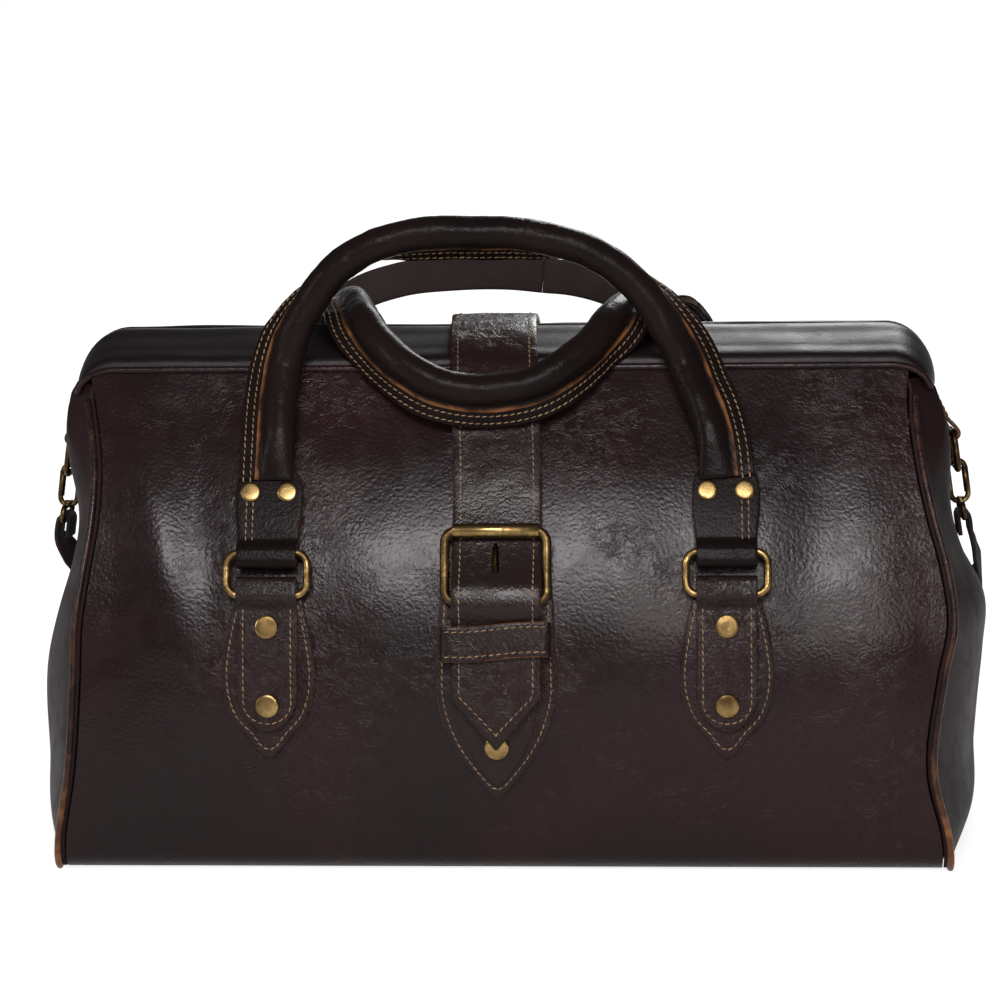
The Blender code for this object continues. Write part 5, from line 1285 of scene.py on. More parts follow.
def handle_path(side):
    """Middle line of a handle's roll, from its left foot to its right one."""
    front = side == FRONT
    half, top = (FRONT_ARCH_HALF, FRONT_LEG_TOP) if front else (BACK_HALF, BACK_LEG_TOP)
    legs, loops = {}, {}
    for end in (LEFT, RIGHT):
        shares = FRONT_LEG_SHARES[end] if front else BACK_LEG_SHARES
        legs[end] = leg_points(half, shares, top, side, end)
        loops[end] = []
        for wide, deep, high in BACK_LOOP_SHARES:
            drift = BACK_DRIFT * min(BACK_LOOP_SHARES[0][1] - deep, 1.0)
            loops[end].append((end * half * wide + drift, BACK_REACH * deep, BACK_TOP * high))
    rise = FRONT_ARCH_TOP - ARCH_FOOT_HEIGHT
    arch = [
        (half * across, ARCH_BACKSET * back - ARCH_FOOT_DEPTH, ARCH_FOOT_HEIGHT + rise * high)
        for across, high, back in FRONT_ARCH_SHARES
    ]
    grip = arch if front else loops[LEFT] + loops[RIGHT][::-1]
    return smooth_path(legs[LEFT] + grip + legs[RIGHT][::-1], PATH_STEP)


def flange_ways(path, front):
    """Side directions for the flange: outwards on the legs, turned under at the grip."""
    back, down = np.array([0.0, 1.0, 0.0]), np.array([0.0, 0.0, -1.0])
    ways = []
    for place, way in zip(path, unit_rows(np.gradient(path, axis=0))):
        if front:
            share = (place[2] - ARCH_FOOT_HEIGHT) / (FRONT_ARCH_TOP - ARCH_FOOT_HEIGHT)
            turn = math.pi * smooth_value(FLANGE_TURN_HEIGHT_SHARES, FLANGE_TURN_SHARES, share)
            normal = unit_rows(np.cross(way, back))
            if normal[0] * place[0] + normal[2] * (place[2] - ARCH_FOOT_HEIGHT) < 0.0:
                normal = -normal
            ways.append(math.cos(turn) * normal + math.sin(turn) * back)
        else:
            outward = np.array([math.tanh(place[0] / 0.004), 0.0, 0.0])
            blend = (-place[1] / BACK_REACH - FLANGE_HANG_START) / FLANGE_HANG_SPAN
            blend = min(max(blend, 0.0), 1.0)
            hang = (1.0 - abs(place[0]) / BACK_HALF) * FLANGE_HANG_GAIN
            ways.append(unit_rows(outward * (1.0 - blend * min(hang, 1.0)) + down * blend * hang))
    return np.array(ways)


def build_handle(side_name, side):
    """Roll and flange in one sweep, with the flat ends that fold round the rings."""
    path = handle_path(side)
    run = run_lengths(path)
    flat = smooth_value(ROLL_FOOT_RUNS, ROLL_FOOT_SHARES, np.minimum(run, run[-1] - run))
    scales = np.stack([np.ones(len(path)), flat], axis=1)
    section, marks = roll_section()
    body = side_name + "_handle"
    finish = leather("handle_leather")
    ways = unit_rows(np.gradient(path, axis=0))
    asides = squared(flange_ways(path, side == FRONT), ways)
    name = "grip_" + side_name
    grip = swept(name, path, asides, section, finish, scales=scales, marks=marks)
    crumple(grip, 0.00045)
    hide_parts("handle_" + side_name)
    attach(grip, body)
    lifts = np.cross(ways, asides)
    stand = (HANDLE_FLANGE_HALF * flat + STITCH_STAND)[:, None]
    for reach in FLANGE_STITCHES:
        for face in (1.0, -1.0):
            row = path + asides * (HANDLE_ROLL + reach) + lifts * face * stand
            keep_row(body, row, lifts * face)
    for end_name, end in ENDS.items():
        anchor = ring_high_height(end, side)
        length = float(arc_of(HANDLE_END_TOP) - arc_of(anchor))
        place = wall_frame(ring_middle(end), anchor, RING_UPPER_OFFSET, side, -1.0)
        bore = RING_WIRE * HALF + CLEARANCE
        line = folded_line(bore, HANDLE_LAYER, length, HANDLE_SLACK)
        shares = np.clip(-line[:, 1] / length, 0.0, 1.0)
        widths = np.interp(shares, HANDLE_END_ROW_SHARES[::-1], HANDLE_END_WIDTH_SHARES[::-1])
        half = HANDLE_END_WIDTH * HALF * widths
        name = "grip_end_" + side_name + "_" + end_name
        strip = ribbon(name, line, half, place, HANDLE_LAYER, finish)
        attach(strip, body)
        start = -(bore + HANDLE_LAYER) * FOLD_JOIN_SHARE
        for x in HANDLE_END_STITCHES:
            row = [(end * x, start), (end * x, -length * 0.66)]
            sew(body, place, row, HANDLE_LAYER - bore)


def crumple(obj, amount):
    """Uneven swelling of a stuffed roll."""
    mesh = obj.data
    for vertex in mesh.vertices:
        place = vertex.co
        push = noise.noise(place * 95.0) + 0.5 * noise.noise(place * 240.0)
        vertex.co = place + vertex.normal * amount * push


# Closing strap and buckle


def chape_bore():
    return BUCKLE_WIRE * HALF + CLEARANCE


def buckle_offset():
    return 2.0 * CLEARANCE + PATCH_THICKNESS + chape_bore() + CHAPE_LAYER


def strap_over_bar():
    return buckle_offset() + chape_bore() + CHAPE_LAYER + CLEARANCE


def keeper_floor():
    return 3.0 * CLEARANCE + PATCH_THICKNESS + CHAPE_LAYER


def strap_in_keeper():
    return keeper_floor() + KEEPER_WALL + CLEARANCE


def strap_stand():
    """Heights on the front wall and how far the strap's inner face stands off it there."""
    over_cap = keeper_floor() + CAP_HEIGHT + CLEARANCE
    low, high = BUCKLE_BAR_HEIGHT, BUCKLE_BAR_HEIGHT + BUCKLE_HEIGHT
    return (
        (STRAP_TIP, over_cap),
        (STRAP_TIP + CAP_RADIUS, over_cap),
        (STRAP_TIP + STRAP_TAPER, (over_cap + strap_in_keeper()) * HALF),
        (KEEPER_LOW, strap_in_keeper()),
        ((KEEPER_LOW + KEEPER_HIGH) * HALF, strap_in_keeper()),
        (KEEPER_HIGH, strap_in_keeper() + CLEARANCE),
        (low - BUCKLE_WIRE * HALF, strap_over_bar()),
        (low + BUCKLE_WIRE, strap_over_bar()),
        (PRONG_HOLE_HEIGHT, strap_over_bar() * STRAP_FALL_SHARES[0]),
        (low + (high - low) * STRAP_FALL_SHARES[1], STRAP_RISE * STRAP_FALL_SHARES[2]),
        (low + (high - low) * STRAP_FALL_SHARES[3], STRAP_RISE),
        (WALL_TOP_RIGID * STRAP_LIE_SHARE, STRAP_RISE),
        (WALL_TOP_RIGID, STRAP_RISE * STRAP_TOP_RISE),
    )


def strap_offset(z):
    heights, offsets = zip(*strap_stand())
    return np.interp(z, heights, offsets)


def strap_line():
    """Inner face of the strap as (depth, height), from its tip up the front and down the back."""
    arch = [(y * STRAP_ARCH_HALF, FRAME_TOP * z) for y, z in STRAP_ARCH_SHARES]
    back = [
        (WALL_TOP_RIGID, STRAP_RISE * STRAP_TOP_RISE),
        (WALL_TOP_RIGID * STRAP_LIE_SHARE, STRAP_RISE * HALF),
    ]
    back += [(z, STRAP_BACK_STAND) for z in np.linspace(STRAP_BACK_START, STRAP_BACK_FOOT, 6)]
    front, back = (
        [on_wall(0.0, z, offset, side)[1:] for z, offset in stands]
        for stands, side in ((strap_stand(), FRONT), (back, BACK))
    )
    return smooth_path(front + arch + back, 0.0012)


def build_closing_strap():
    line = strap_line()
    normals = line_normals(line)
    runs = run_lengths(line)
    share = np.clip(runs / STRAP_TAPER, 0.0, 1.0)
    half = STRAP_WIDTH * HALF * (STRAP_TIP_SHARE + (1.0 - STRAP_TIP_SHARE) * share)
    top = runs[np.argmax(line[:, 1])]
    lean = STRAP_LEAN * smooth_value((0.0, 0.55, 1.0, 1.6), (0.0, 0.0, 1.0, 0.0), runs / top)
    middle = line + normals * STRAP_THICKNESS * HALF
    finish = leather("strap_leather")
    strap = ribbon("closing_belt", middle, half, stacked, STRAP_THICKNESS, finish, 0.0004, lean)
    crumple(strap, 0.0002)
    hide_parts("closing_strap")
    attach(strap, "bag")
    face = line + normals * (STRAP_THICKNESS + 0.0003)
    ways = np.column_stack([np.zeros(len(line)), normals])
    wide = STRAP_WIDTH * HALF - STRAP_STITCH_INSET
    start = STRAP_TAPER * STRAP_STITCH_INSET / (STRAP_WIDTH * HALF) + 0.0032
    climb = np.clip((runs - start) / (STRAP_TAPER - start + 0.001), 0.0, 1.0)
    keep = runs > start
    for sign in (-1.0, 1.0):
        row = np.column_stack([sign * wide * climb + lean, face])
        keep_row("bag", row[keep], ways[keep])


def build_leaf():
    rows = table_rows(LEAF_TIP, LEAF_TOP, LEAF_ROW_SHARES, LEAF_WIDTH_SHARES, LEAF_HALF_WIDTH, 90)
    place = level_frame(0.0, FRONT)
    high = CLEARANCE + PATCH_THICKNESS
    leaf = slab("belt_leaf", rows, place, CLEARANCE * HALF, high, leather("strap_leather"))
    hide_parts("strap_leaf")
    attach(leaf, "bag")
    sew_leaf(place, rows, high)


def build_chape():
    bore = chape_bore()
    place = wall_frame(0.0, BUCKLE_BAR_HEIGHT, buckle_offset(), FRONT)
    back = float(arc_of(BUCKLE_BAR_HEIGHT) - arc_of(CHAPE_TIP))
    front = (bore + CHAPE_LAYER) * CHAPE_FOLD_SHARE
    line = folded_line(bore, CHAPE_LAYER, back, 0.0, front)
    z = height_after(BUCKLE_BAR_HEIGHT, line[:, 1])
    share = np.clip((z - CHAPE_TIP) / CHAPE_TAPER, 0.0, 1.0)
    width = smooth_value(CHAPE_ROW_SHARES, CHAPE_WIDTH_SHARES, share)
    half = CHAPE_HALF_WIDTH * np.where(line[:, 0] < -bore, width, 1.0)
    chape = ribbon("belt_chape", line, half, place, CHAPE_LAYER, leather("strap_leather"))
    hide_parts("buckle_chape")
    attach(chape, "bag")


def build_keeper():
    low = keeper_floor()
    high = strap_in_keeper() + STRAP_THICKNESS + KEEPER_LIFT + KEEPER_WALL
    wide = STRAP_WIDTH * HALF + KEEPER_PLAY + KEEPER_SIDE * HALF + KEEPER_SLACK
    thick, half = KEEPER_WALL * HALF, (KEEPER_HIGH - KEEPER_LOW) * HALF
    corner = (high - low - KEEPER_WALL) * 0.42
    loop = []
    for k, (right, up) in enumerate(((1.0, 1.0), (-1.0, 1.0), (-1.0, -1.0), (1.0, -1.0))):
        x = right * (wide - corner)
        off = (high if up > 0.0 else low) - up * (corner + thick)
        for turn in np.linspace(0.0, QUARTER_TURN, 7) + k * QUARTER_TURN:
            loop.append((x + corner * math.cos(turn), off + corner * math.sin(turn)))
    x, off = even_path(loop + loop[:1], 0.0016)[:-1].T
    middle = (KEEPER_LOW + KEEPER_HIGH) * HALF

    def droop(x):
        return 0.0013 * np.sin(x / wide * 2.2)

    path = on_wall(x, middle + droop(x), off, FRONT)
    up = on_wall(x, middle + 0.002 + droop(x), off, FRONT) - path
    section, marks = strip_section(half, thick, thick * 0.6, 0.0006, half - 0.002, 8, 0.4)
    keeper = swept("belt_keeper", path, up, section, leather("strap_leather"), True, marks=marks)
    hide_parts("strap_keeper")
    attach(keeper, "bag")
    x = np.linspace(-wide + 0.003, wide - 0.003, 30)
    for z in (middle - half + 0.0032, middle + half - 0.0032):
        sew("bag", level_frame(0.0, FRONT), np.stack([x, z + droop(x)], axis=1), high)


def buckle_low():
    return on_wall(0.0, BUCKLE_BAR_HEIGHT, buckle_offset(), FRONT)


def buckle_high():
    pitch = BUCKLE_HEIGHT - BUCKLE_WIRE
    z = height_at_reach(buckle_low(), 0.0, BUCKLE_BAR_HEIGHT, BUCKLE_UPPER_OFFSET, pitch, FRONT)
    return on_wall(0.0, z, BUCKLE_UPPER_OFFSET, FRONT)


def build_buckle():
    low, high, across = buckle_low(), buckle_high(), (1.0, 0.0, 0.0)
    sizes = (BUCKLE_WIRE, BUCKLE_LENGTH, BUCKLE_CORNER)
    loop = wire_ring("belt_buckle", low, high, across, *sizes, brass("buckle_brass"))
    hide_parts("buckle_frame")
    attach(loop, "buckle")
    half, lip = ROLLER_LENGTH * HALF, 0.0004
    profile = [(-half, ROLLER_BORE), (-half, ROLLER_RADIUS - lip), (-half + lip, ROLLER_RADIUS)]
    profile += [(-run, radius) for run, radius in profile[::-1]]
    finish = brass("rubbed_brass")
    roller = turned("belt_roller", high, across, profile, finish, closed=True)
    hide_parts("buckle_roller")
    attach(roller, "roller")
    build_prong(low, high)


def build_prong(low, high):
    rise = float(np.linalg.norm(high - low))
    up = (high - low) / rise
    bore, wall = BUCKLE_WIRE * HALF + CLEARANCE, PRONG_EYE_WALL
    half, across = PRONG_EYE_LENGTH * HALF, (1.0, 0.0, 0.0)
    profile = [(-half, bore), (-half, bore + wall), (half, bore + wall), (half, bore)]
    eye = turned("belt_prong_eye", low, across, profile, brass("aged_brass"), closed=True)
    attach(eye, "prong")
    stand = float(strap_offset(PRONG_HOLE_HEIGHT)) + STRAP_THICKNESS * HALF
    through = on_wall(0.0, PRONG_HOLE_HEIGHT, stand, FRONT)
    start = low + up * (bore + wall * HALF)
    tip = float(height_after(BUCKLE_BAR_HEIGHT, rise * PRONG_REACH_SHARE))
    path = [start, (start + through) * HALF + up * wall, through]
    for z in ((PRONG_HOLE_HEIGHT + tip) * HALF, tip):
        lie = float(strap_offset(z)) + STRAP_THICKNESS + PRONG_RADIUS + CLEARANCE * 2.0
        path.append(on_wall(0.0, z, lie, FRONT))
    path = smooth_path(path, 0.0008)
    run = run_lengths(path)
    taper = smooth_value((0.0, 0.7, 0.93, 1.0), (1.0, 0.95, 0.7, 0.35), run / run[-1])
    scales = np.stack([taper * 0.95, taper * 0.9], axis=1)
    section = circle(PRONG_RADIUS, 14)
    # Painted shade: the prong's brass is darkened to stand for the shade the prong lies in
    prong = swept("belt_prong", path, across, section, brass("dark_brass"), scales=scales)
    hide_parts("buckle_prong")
    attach(prong, "prong")


# Side tabs, D-rings, hooks, shoulder strap


def side_bar(end):
    reach = float(gusset_reach(SIDE_BAR_HEIGHT, 0.0, end)) + SIDE_BAR_STAND
    return np.array([end * reach, 0.0, SIDE_BAR_HEIGHT])


def side_hang(end):
    return np.array([end * math.sin(SIDE_LEAN), 0.0, -math.cos(SIDE_LEAN)])


def side_out(end):
    return np.array([end * math.cos(SIDE_LEAN), 0.0, math.sin(SIDE_LEAN)])


def build_side_tab(end_name, end):
    bore = SIDE_WIRE * HALF + CLEARANCE
    foot = bore + SIDE_LAYER
    run = SIDE_TAB_TOP - SIDE_BAR_HEIGHT
    centre = side_bar(end)
    stand = SIDE_BAR_STAND - foot - CLEARANCE * 2.0
    level = gusset_reach(SIDE_BAR_HEIGHT + foot, 0.0, end)

    def place(across, off, along):
        z = SIDE_BAR_HEIGHT - along
        lean = gusset_reach(np.maximum(z, SIDE_BAR_HEIGHT + foot), 0.0, end) - level
        drawn = stand * np.clip((-along - foot) / (run - foot), 0.0, 1.0)
        return stacked(centre[0] + end * (off + lean - drawn), across, z)

    line = folded_line(bore, SIDE_LAYER, run, 0.0)
    half = np.full(len(line), SIDE_TAB_WIDTH * HALF)
    name = "side_loop_" + end_name
    tab = ribbon(name, line, half, place, SIDE_LAYER, leather("strap_leather"))
    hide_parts("side_tab_" + end_name)
    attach(tab, "bag")
    wide, start, end_run = SIDE_TAB_WIDTH * HALF - 0.003, -foot * FOLD_JOIN_SHARE, 0.003 - run
    row = [(-wide, start), (-wide, end_run), (wide, end_run), (wide, start)]
    sew("bag", place, row, 2.0 * SIDE_LAYER - foot)


def build_side_hardware(end_name, end):
    body = end_name + "_side_ring"
    bar, hang, out = side_bar(end), side_hang(end), side_out(end)
    across, metal = (0.0, 1.0, 0.0), brass("side_brass")
    low = bar + hang * (SIDE_RING_HEIGHT - SIDE_WIRE)
    sizes = (SIDE_WIRE, SIDE_RING_LENGTH, 0.006)
    ring = wire_ring("d_ring_" + end_name, bar, low, across, *sizes, metal)
    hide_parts("side_ring_" + end_name)
    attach(ring, body)
    top = bar + hang * hook_drop()
    under = top + hang * (HOOK_HEIGHT - HOOK_WIRE)
    sizes = (HOOK_WIRE, HOOK_WIDTH, 0.0045)
    hook = wire_ring("hook_" + end_name, top, under, out, *sizes, metal)
    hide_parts("snap_hook_" + end_name)
    sizes = (HOOK_WIRE, HOOK_LOOP_LENGTH, HOOK_LOOP_CORNER)
    slot = wire_ring("hook_slot_" + end_name, under, strap_anchor(end), across, *sizes, metal)
    profile = [(0.0, 0.0015), (0.0004, 0.0022), (0.0022, 0.0024)]
    profile += [(0.0026, 0.0019), (0.0032, 0.0019)]
    start = under - hang * 0.0026
    barrel = turned("hook_barrel_" + end_name, start, hang, profile, metal, 24)
    aside = out * HOOK_WIDTH * 0.36
    path = [top + aside + hang * 0.004, under + aside - hang * 0.005]
    section = circle(HOOK_WIRE * 0.62, 14)
    gate = swept("hook_gate_" + end_name, path, across, section, metal)
    for piece in (hook, slot, barrel, gate):
        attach(piece, body)


def hook_drop():
    """Distance from the bar of a D-ring to the upper bar of the hook that hangs in it."""
    return SIDE_RING_HEIGHT - SIDE_WIRE - SIDE_WIRE * HALF - CLEARANCE - HOOK_WIRE * HALF


def strap_anchor(end):
    drop = hook_drop() + HOOK_HEIGHT - HOOK_WIRE + HOOK_LOOP_HEIGHT - HOOK_WIRE
    return side_bar(end) + side_hang(end) * drop


def shoulder_way(place, way):
    """Direction of the strap's width, its face turning from the side of the bag to the back."""
    reach = abs(strap_anchor(RIGHT)[0])
    behind = (place[1] / SHOULDER_REACH - SHOULDER_TURN_START) / SHOULDER_TURN_SPAN
    inward = (SHOULDER_CORNER_SHARE - abs(place[0]) / reach) / SHOULDER_CORNER_SPAN
    share = min(max(behind, inward, 0.0), 1.0)
    facing = np.array([(1.0 - share) * np.sign(place[0]), share, 0.0])
    return np.cross(facing, way)


def shoulder_route(end):
    """Points of a half of the strap from its folded end to the top, and the fold's length."""
    bend = HOOK_WIRE * HALF + CLEARANCE + SHOULDER_THICKNESS * HALF
    anchor, hang, out = strap_anchor(end), side_hang(end), side_out(end)
    run = bend * SHOULDER_FOLD_SHARE
    points = [anchor - out * bend + hang * run * share for share in (1.0, HALF)]
    for turn in np.linspace(math.pi, 0.0, 13):
        points.append(anchor + bend * (out * math.cos(turn) - hang * math.sin(turn)))
    points.append(points[-1] + hang * run)
    folded = run_lengths(np.array(points))[-1]
    for deep, high in SHOULDER_SIDE_SHARES:
        y, z = SHOULDER_REACH * deep, SHOULDER_TOP * high
        share = min(y / float(edge_depth(z)), 1.0)
        reach = float(gusset_reach(z, share, end)) + SHOULDER_STAND
        points.append(np.array([end * reach, y, z]))
    for wide, deep, high in SHOULDER_SHARES:
        drift = float(smooth_value((0.0, 0.5, 1.0), (0.0, 0.0, 1.0), high))
        reach = anchor[0] * wide + SHOULDER_DRIFT * drift
        points.append(np.array([reach, SHOULDER_REACH * deep, SHOULDER_TOP * high]))
    return points, folded


def build_shoulder_strap():
    """Flat strap from hook to hook, slack behind the bag, in two halves that meet at a seam."""
    routes = {end: shoulder_route(end) for end in (LEFT, RIGHT)}
    last = routes[RIGHT][0].pop()
    middle = (last + routes[RIGHT][0][-1]) * HALF
    routes[LEFT][0].append(last)
    wide, edge = SHOULDER_WIDTH * HALF, SHOULDER_THICKNESS * HALF
    corner = edge * HALF
    section, marks = strip_section(wide, edge, corner, corner, wide * 0.8, 5, 0.5)
    for end_name, end in ENDS.items():
        points, folded = routes[end]
        path = smooth_path(points + [middle], 0.002)
        ways = unit_rows(np.gradient(path, axis=0))
        asides = np.array([shoulder_way(place, way) for place, way in zip(path, ways)])
        runs = run_lengths(path)
        near = (runs < folded + 0.02) & (-asides[:, 1] + 1e-9 < 0.0)
        asides = np.where(near[:, None], -asides, asides)
        share = np.clip((runs - folded) / 0.012, 0.0, 1.0)[:, None]
        asides = steady(np.array([0.0, -1.0, 0.0]) * (1.0 - share) + asides * share)
        name = "shoulder_belt_" + end_name
        half = swept(name, path, asides, section, leather("flesh_side"), marks=marks)
        if end == LEFT:
            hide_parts("shoulder_strap")
        x = float(strap_anchor(end)[0])
        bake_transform(half)


def steady(asides):
    """The same directions, each turned to agree with the one before it."""
    made = [asides[0]]
    for aside in asides[1:]:
        made.append(aside if aside @ made[-1] > 0.0 else -aside)
    return np.array(made)


# Stitches and rivets by geometry nodes


def growing_tree(name, *sockets):
    """New geometry tree with its inputs, and their sockets inside."""
    tree = bpy.data.node_groups.new(name, "GeometryNodeTree")
    group_socket(tree, "Geometry", "NodeSocketGeometry")
    for socket in sockets:
        group_socket(tree, *socket)
    group_socket(tree, "Geometry", "NodeSocketGeometry", way="OUTPUT")
    return tree, new_node(tree, "NodeGroupInput").outputs


def point_value(tree, name, kind):
    made = new_node(tree, "GeometryNodeInputNamedAttribute", {"Name": name}, data_type=kind)
    return made.outputs[0]


def stitch_tree():
    """Saddle stitches along edges, turned to the face that the point attribute gives."""
    found = bpy.data.node_groups.get("Saddle stitches")
    if found:
        return found
    tree, given = growing_tree(
        "Saddle stitches",
        ("Pitch", "NodeSocketFloat", 0.0036),
        ("Length", "NodeSocketFloat", 0.0030),
        ("Width", "NodeSocketFloat", 0.0009),
        ("Slant", "NodeSocketFloat", 0.14),
        ("Thread", "NodeSocketMaterial"),
    )
    lines = new_node(tree, "GeometryNodeMeshToCurve", {"Mesh": given["Geometry"]})
    values = {"Curve": lines.outputs[0], "Length": given["Pitch"]}
    spaced = new_node(tree, "GeometryNodeResampleCurve", values, mode="LENGTH")
    values = {"Segments": 8, "Rings": 5, "Radius": 0.5}
    ball = new_node(tree, "GeometryNodeMeshUVSphere", values).outputs["Mesh"]
    values = {0: given["Length"], 1: given["Width"], 2: given["Width"]}
    size = new_node(tree, "ShaderNodeCombineXYZ", values).outputs[0]
    bead = new_node(tree, "GeometryNodeTransform", {"Geometry": ball, "Scale": size})
    along = new_node(
        tree,
        "FunctionNodeAlignRotationToVector",
        {"Vector": new_node(tree, "GeometryNodeInputTangent").outputs[0]},
        axis="X",
    )
    values = {"Rotation": along.outputs[0], "Vector": point_value(tree, "facing", "FLOAT_VECTOR")}
    upright = new_node(
        tree, "FunctionNodeAlignRotationToVector", values, axis="Z", pivot_axis="X"
    )
    values = {"Axis": (0.0, 0.0, 1.0), "Angle": given["Slant"]}
    turn = new_node(tree, "FunctionNodeAxisAngleToRotation", values)
    values = {0: upright.outputs[0], 1: turn.outputs[0]}
    slant = new_node(tree, "FunctionNodeRotateRotation", values, rotation_space="LOCAL")
    values = {"Points": spaced.outputs[0], "Instance": bead.outputs[0]}
    values["Rotation"] = slant.outputs[0]
    placed = new_node(tree, "GeometryNodeInstanceOnPoints", values)
    return finish_tree(tree, placed.outputs[0], given["Thread"])


def finish_tree(tree, geometry, material):
    """Ends a tree: real meshes, smooth, with their material."""
    real = new_node(tree, "GeometryNodeRealizeInstances", {0: geometry}).outputs[0]
    smooth = new_node(tree, "GeometryNodeSetShadeSmooth", {0: real}).outputs[0]
    values = {"Geometry": smooth, "Material": material}
    dressed = new_node(tree, "GeometryNodeSetMaterial", values).outputs[0]
    new_node(tree, "NodeGroupOutput", {0: dressed})
    return tree


def rivet_tree():
    """Rivet heads on points: a lathed head, sized by an attribute, turned to the face."""
    found = bpy.data.node_groups.get("Rivet heads")
    if found:
        return found
    tree, given = growing_tree(
        "Rivet heads", ("Head", "NodeSocketObject"), ("Metal", "NodeSocketMaterial")
    )
    head = new_node(tree, "GeometryNodeObjectInfo", {"Object": given["Head"]})
    values = {"Vector": point_value(tree, "facing", "FLOAT_VECTOR")}
    upright = new_node(tree, "FunctionNodeAlignRotationToVector", values, axis="Z")
    values = {
        "Points": given["Geometry"],
        "Instance": head.outputs["Geometry"],
        "Rotation": upright.outputs[0],
        "Scale": point_value(tree, "radius", "FLOAT"),
    }
    placed = new_node(tree, "GeometryNodeInstanceOnPoints", values)
    return finish_tree(tree, placed.outputs[0], given["Metal"])


def grown(name, points, edges, marks, tree, values):
    """Plain mesh object that a geometry tree makes from guide points with their marks."""
    mesh = bpy.data.meshes.new(name)
    mesh.from_pydata(points, edges, [])
    for mark, numbers in marks.items():
        numbers = np.asarray(numbers, np.float32)
        kind, key = ("FLOAT_VECTOR", "vector") if numbers.ndim > 1 else ("FLOAT", "value")
        mesh.attributes.new(mark, kind, "POINT").data.foreach_set(key, numbers.ravel())
    guide = bpy.data.objects.new(name, mesh)
    bpy.context.scene.collection.objects.link(guide)
    step = guide.modifiers.new("Grow", "NODES")
    step.node_group = tree
    for item in tree.interface.items_tree:
        if item.in_out == "INPUT" and item.name in values:
            step[item.identifier] = values[item.name]
    graph = bpy.context.evaluated_depsgraph_get()
    guide.data = bpy.data.meshes.new_from_object(guide.evaluated_get(graph), depsgraph=graph)
    guide.modifiers.remove(step)
    guide.data.name = name
    return guide


def build_stitches():
    settings = bpy.context.scene.bag_sewing
    values = {
        "Pitch": settings.pitch,
        "Length": settings.stitch_length,
        "Width": settings.thread_width,
        "Slant": settings.slant,
        "Thread": thread(),
    }
    for body, rows in STITCH_ROWS.items():
        points, edges, facing = [], [], []
        for spots, ways in rows:
            start = len(points)
            points += spots.tolist()
            facing += ways.tolist()
            edges += [(start + k, start + k + 1) for k in range(len(spots) - 1)]
        name = "stitches_" + body
        sewn = grown(name, points, edges, {"facing": facing}, stitch_tree(), values)
        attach(sewn, body)


def build_rivets():
    profile = [(0.0, 0.93), (0.10, 0.985), (0.17, 1.0), (0.25, 0.985)]
    profile += [(0.315, 0.90), (0.335, 0.72), (0.345, 0.4), (0.348, 0.15)]
    metal = brass("rubbed_brass")
    head = turned("rivet_pattern", np.zeros(3), (0.0, 0.0, 1.0), profile, metal)
    values = {"Head": head, "Metal": metal}
    found, nodes = rivet_spots()
    for body, rivets in found.items():
        spots, ways, sizes = zip(*rivets)
        points = [spot.tolist() for spot in spots]
        marks = {"facing": ways, "radius": sizes}
        made = grown("rivets_" + body, points, [], marks, rivet_tree(), values)
        if nodes[body]:
            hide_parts(*nodes[body])
        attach(made, body)
    bpy.data.objects.remove(head)


# Stage


def area_light(name, place, target, size, power, colour):
    data = bpy.data.lights.new(name, "AREA")
    data.shape = "RECTANGLE"
    data.size, data.size_y = size
    data.energy = power
    data.color = colour
    lamp = bpy.data.objects.new(name, data)
    bpy.context.scene.collection.objects.link(lamp)
    lamp.location = place
    way = Vector(target) - Vector(place)
    lamp.rotation_euler = way.to_track_quat("-Z", "Y").to_euler()
    return lamp


def build_floor():
    settings = bpy.context.scene.bag_stage
    mesh = bpy.data.meshes.new("floor")
    far = FLOOR_REACH
    corners = [(-far, -far, 0.0), (far, -far, 0.0), (far, far, 0.0), (-far, far, 0.0)]
    mesh.from_pydata(corners, [], [(0, 1, 2, 3)])
    floor = bpy.data.objects.new("floor", mesh)
    bpy.context.scene.collection.objects.link(floor)
    floor.location = (0.0, 0.0, -0.0003)
    made = bpy.data.materials.new("pale_floor")
    made.use_nodes = True
    tree = made.node_tree
    tree.nodes.clear()
    paint = new_node(tree, "ShaderNodeBsdfDiffuse", {"Color": (*settings.floor_colour, 1.0)})
    glow = new_node(tree, "ShaderNodeEmission", {"Strength": settings.glow})
    away = new_node(tree, "ShaderNodeVectorMath", {0: object_spot(tree)}, operation="LENGTH")
    white = ranged(tree, away.outputs["Value"], 0.4, 1.1, settings.whiteness, 1.0)
    seen, glossy = ray_kinds(tree)
    mirrored = math_node(tree, "MULTIPLY", glossy, settings.gloss_floor)
    share = math_node(tree, "MULTIPLY", math_node(tree, "MAXIMUM", seen, mirrored), white)
    values = {0: share, 1: paint.outputs[0], 2: glow.outputs[0]}
    blend = new_node(tree, "ShaderNodeMixShader", values)
    new_node(tree, "ShaderNodeOutputMaterial", {"Surface": blend.outputs[0]})
    mesh.materials.append(made)
    floor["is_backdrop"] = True


def ray_kinds(tree):
    """Masks of the rays that see the plain background, and of the mirrored ones."""
    ray = new_node(tree, "ShaderNodeLightPath").outputs
    seen = math_node(tree, "MAXIMUM", ray["Is Camera Ray"], ray["Is Transmission Ray"])
    return seen, ray["Is Glossy Ray"]


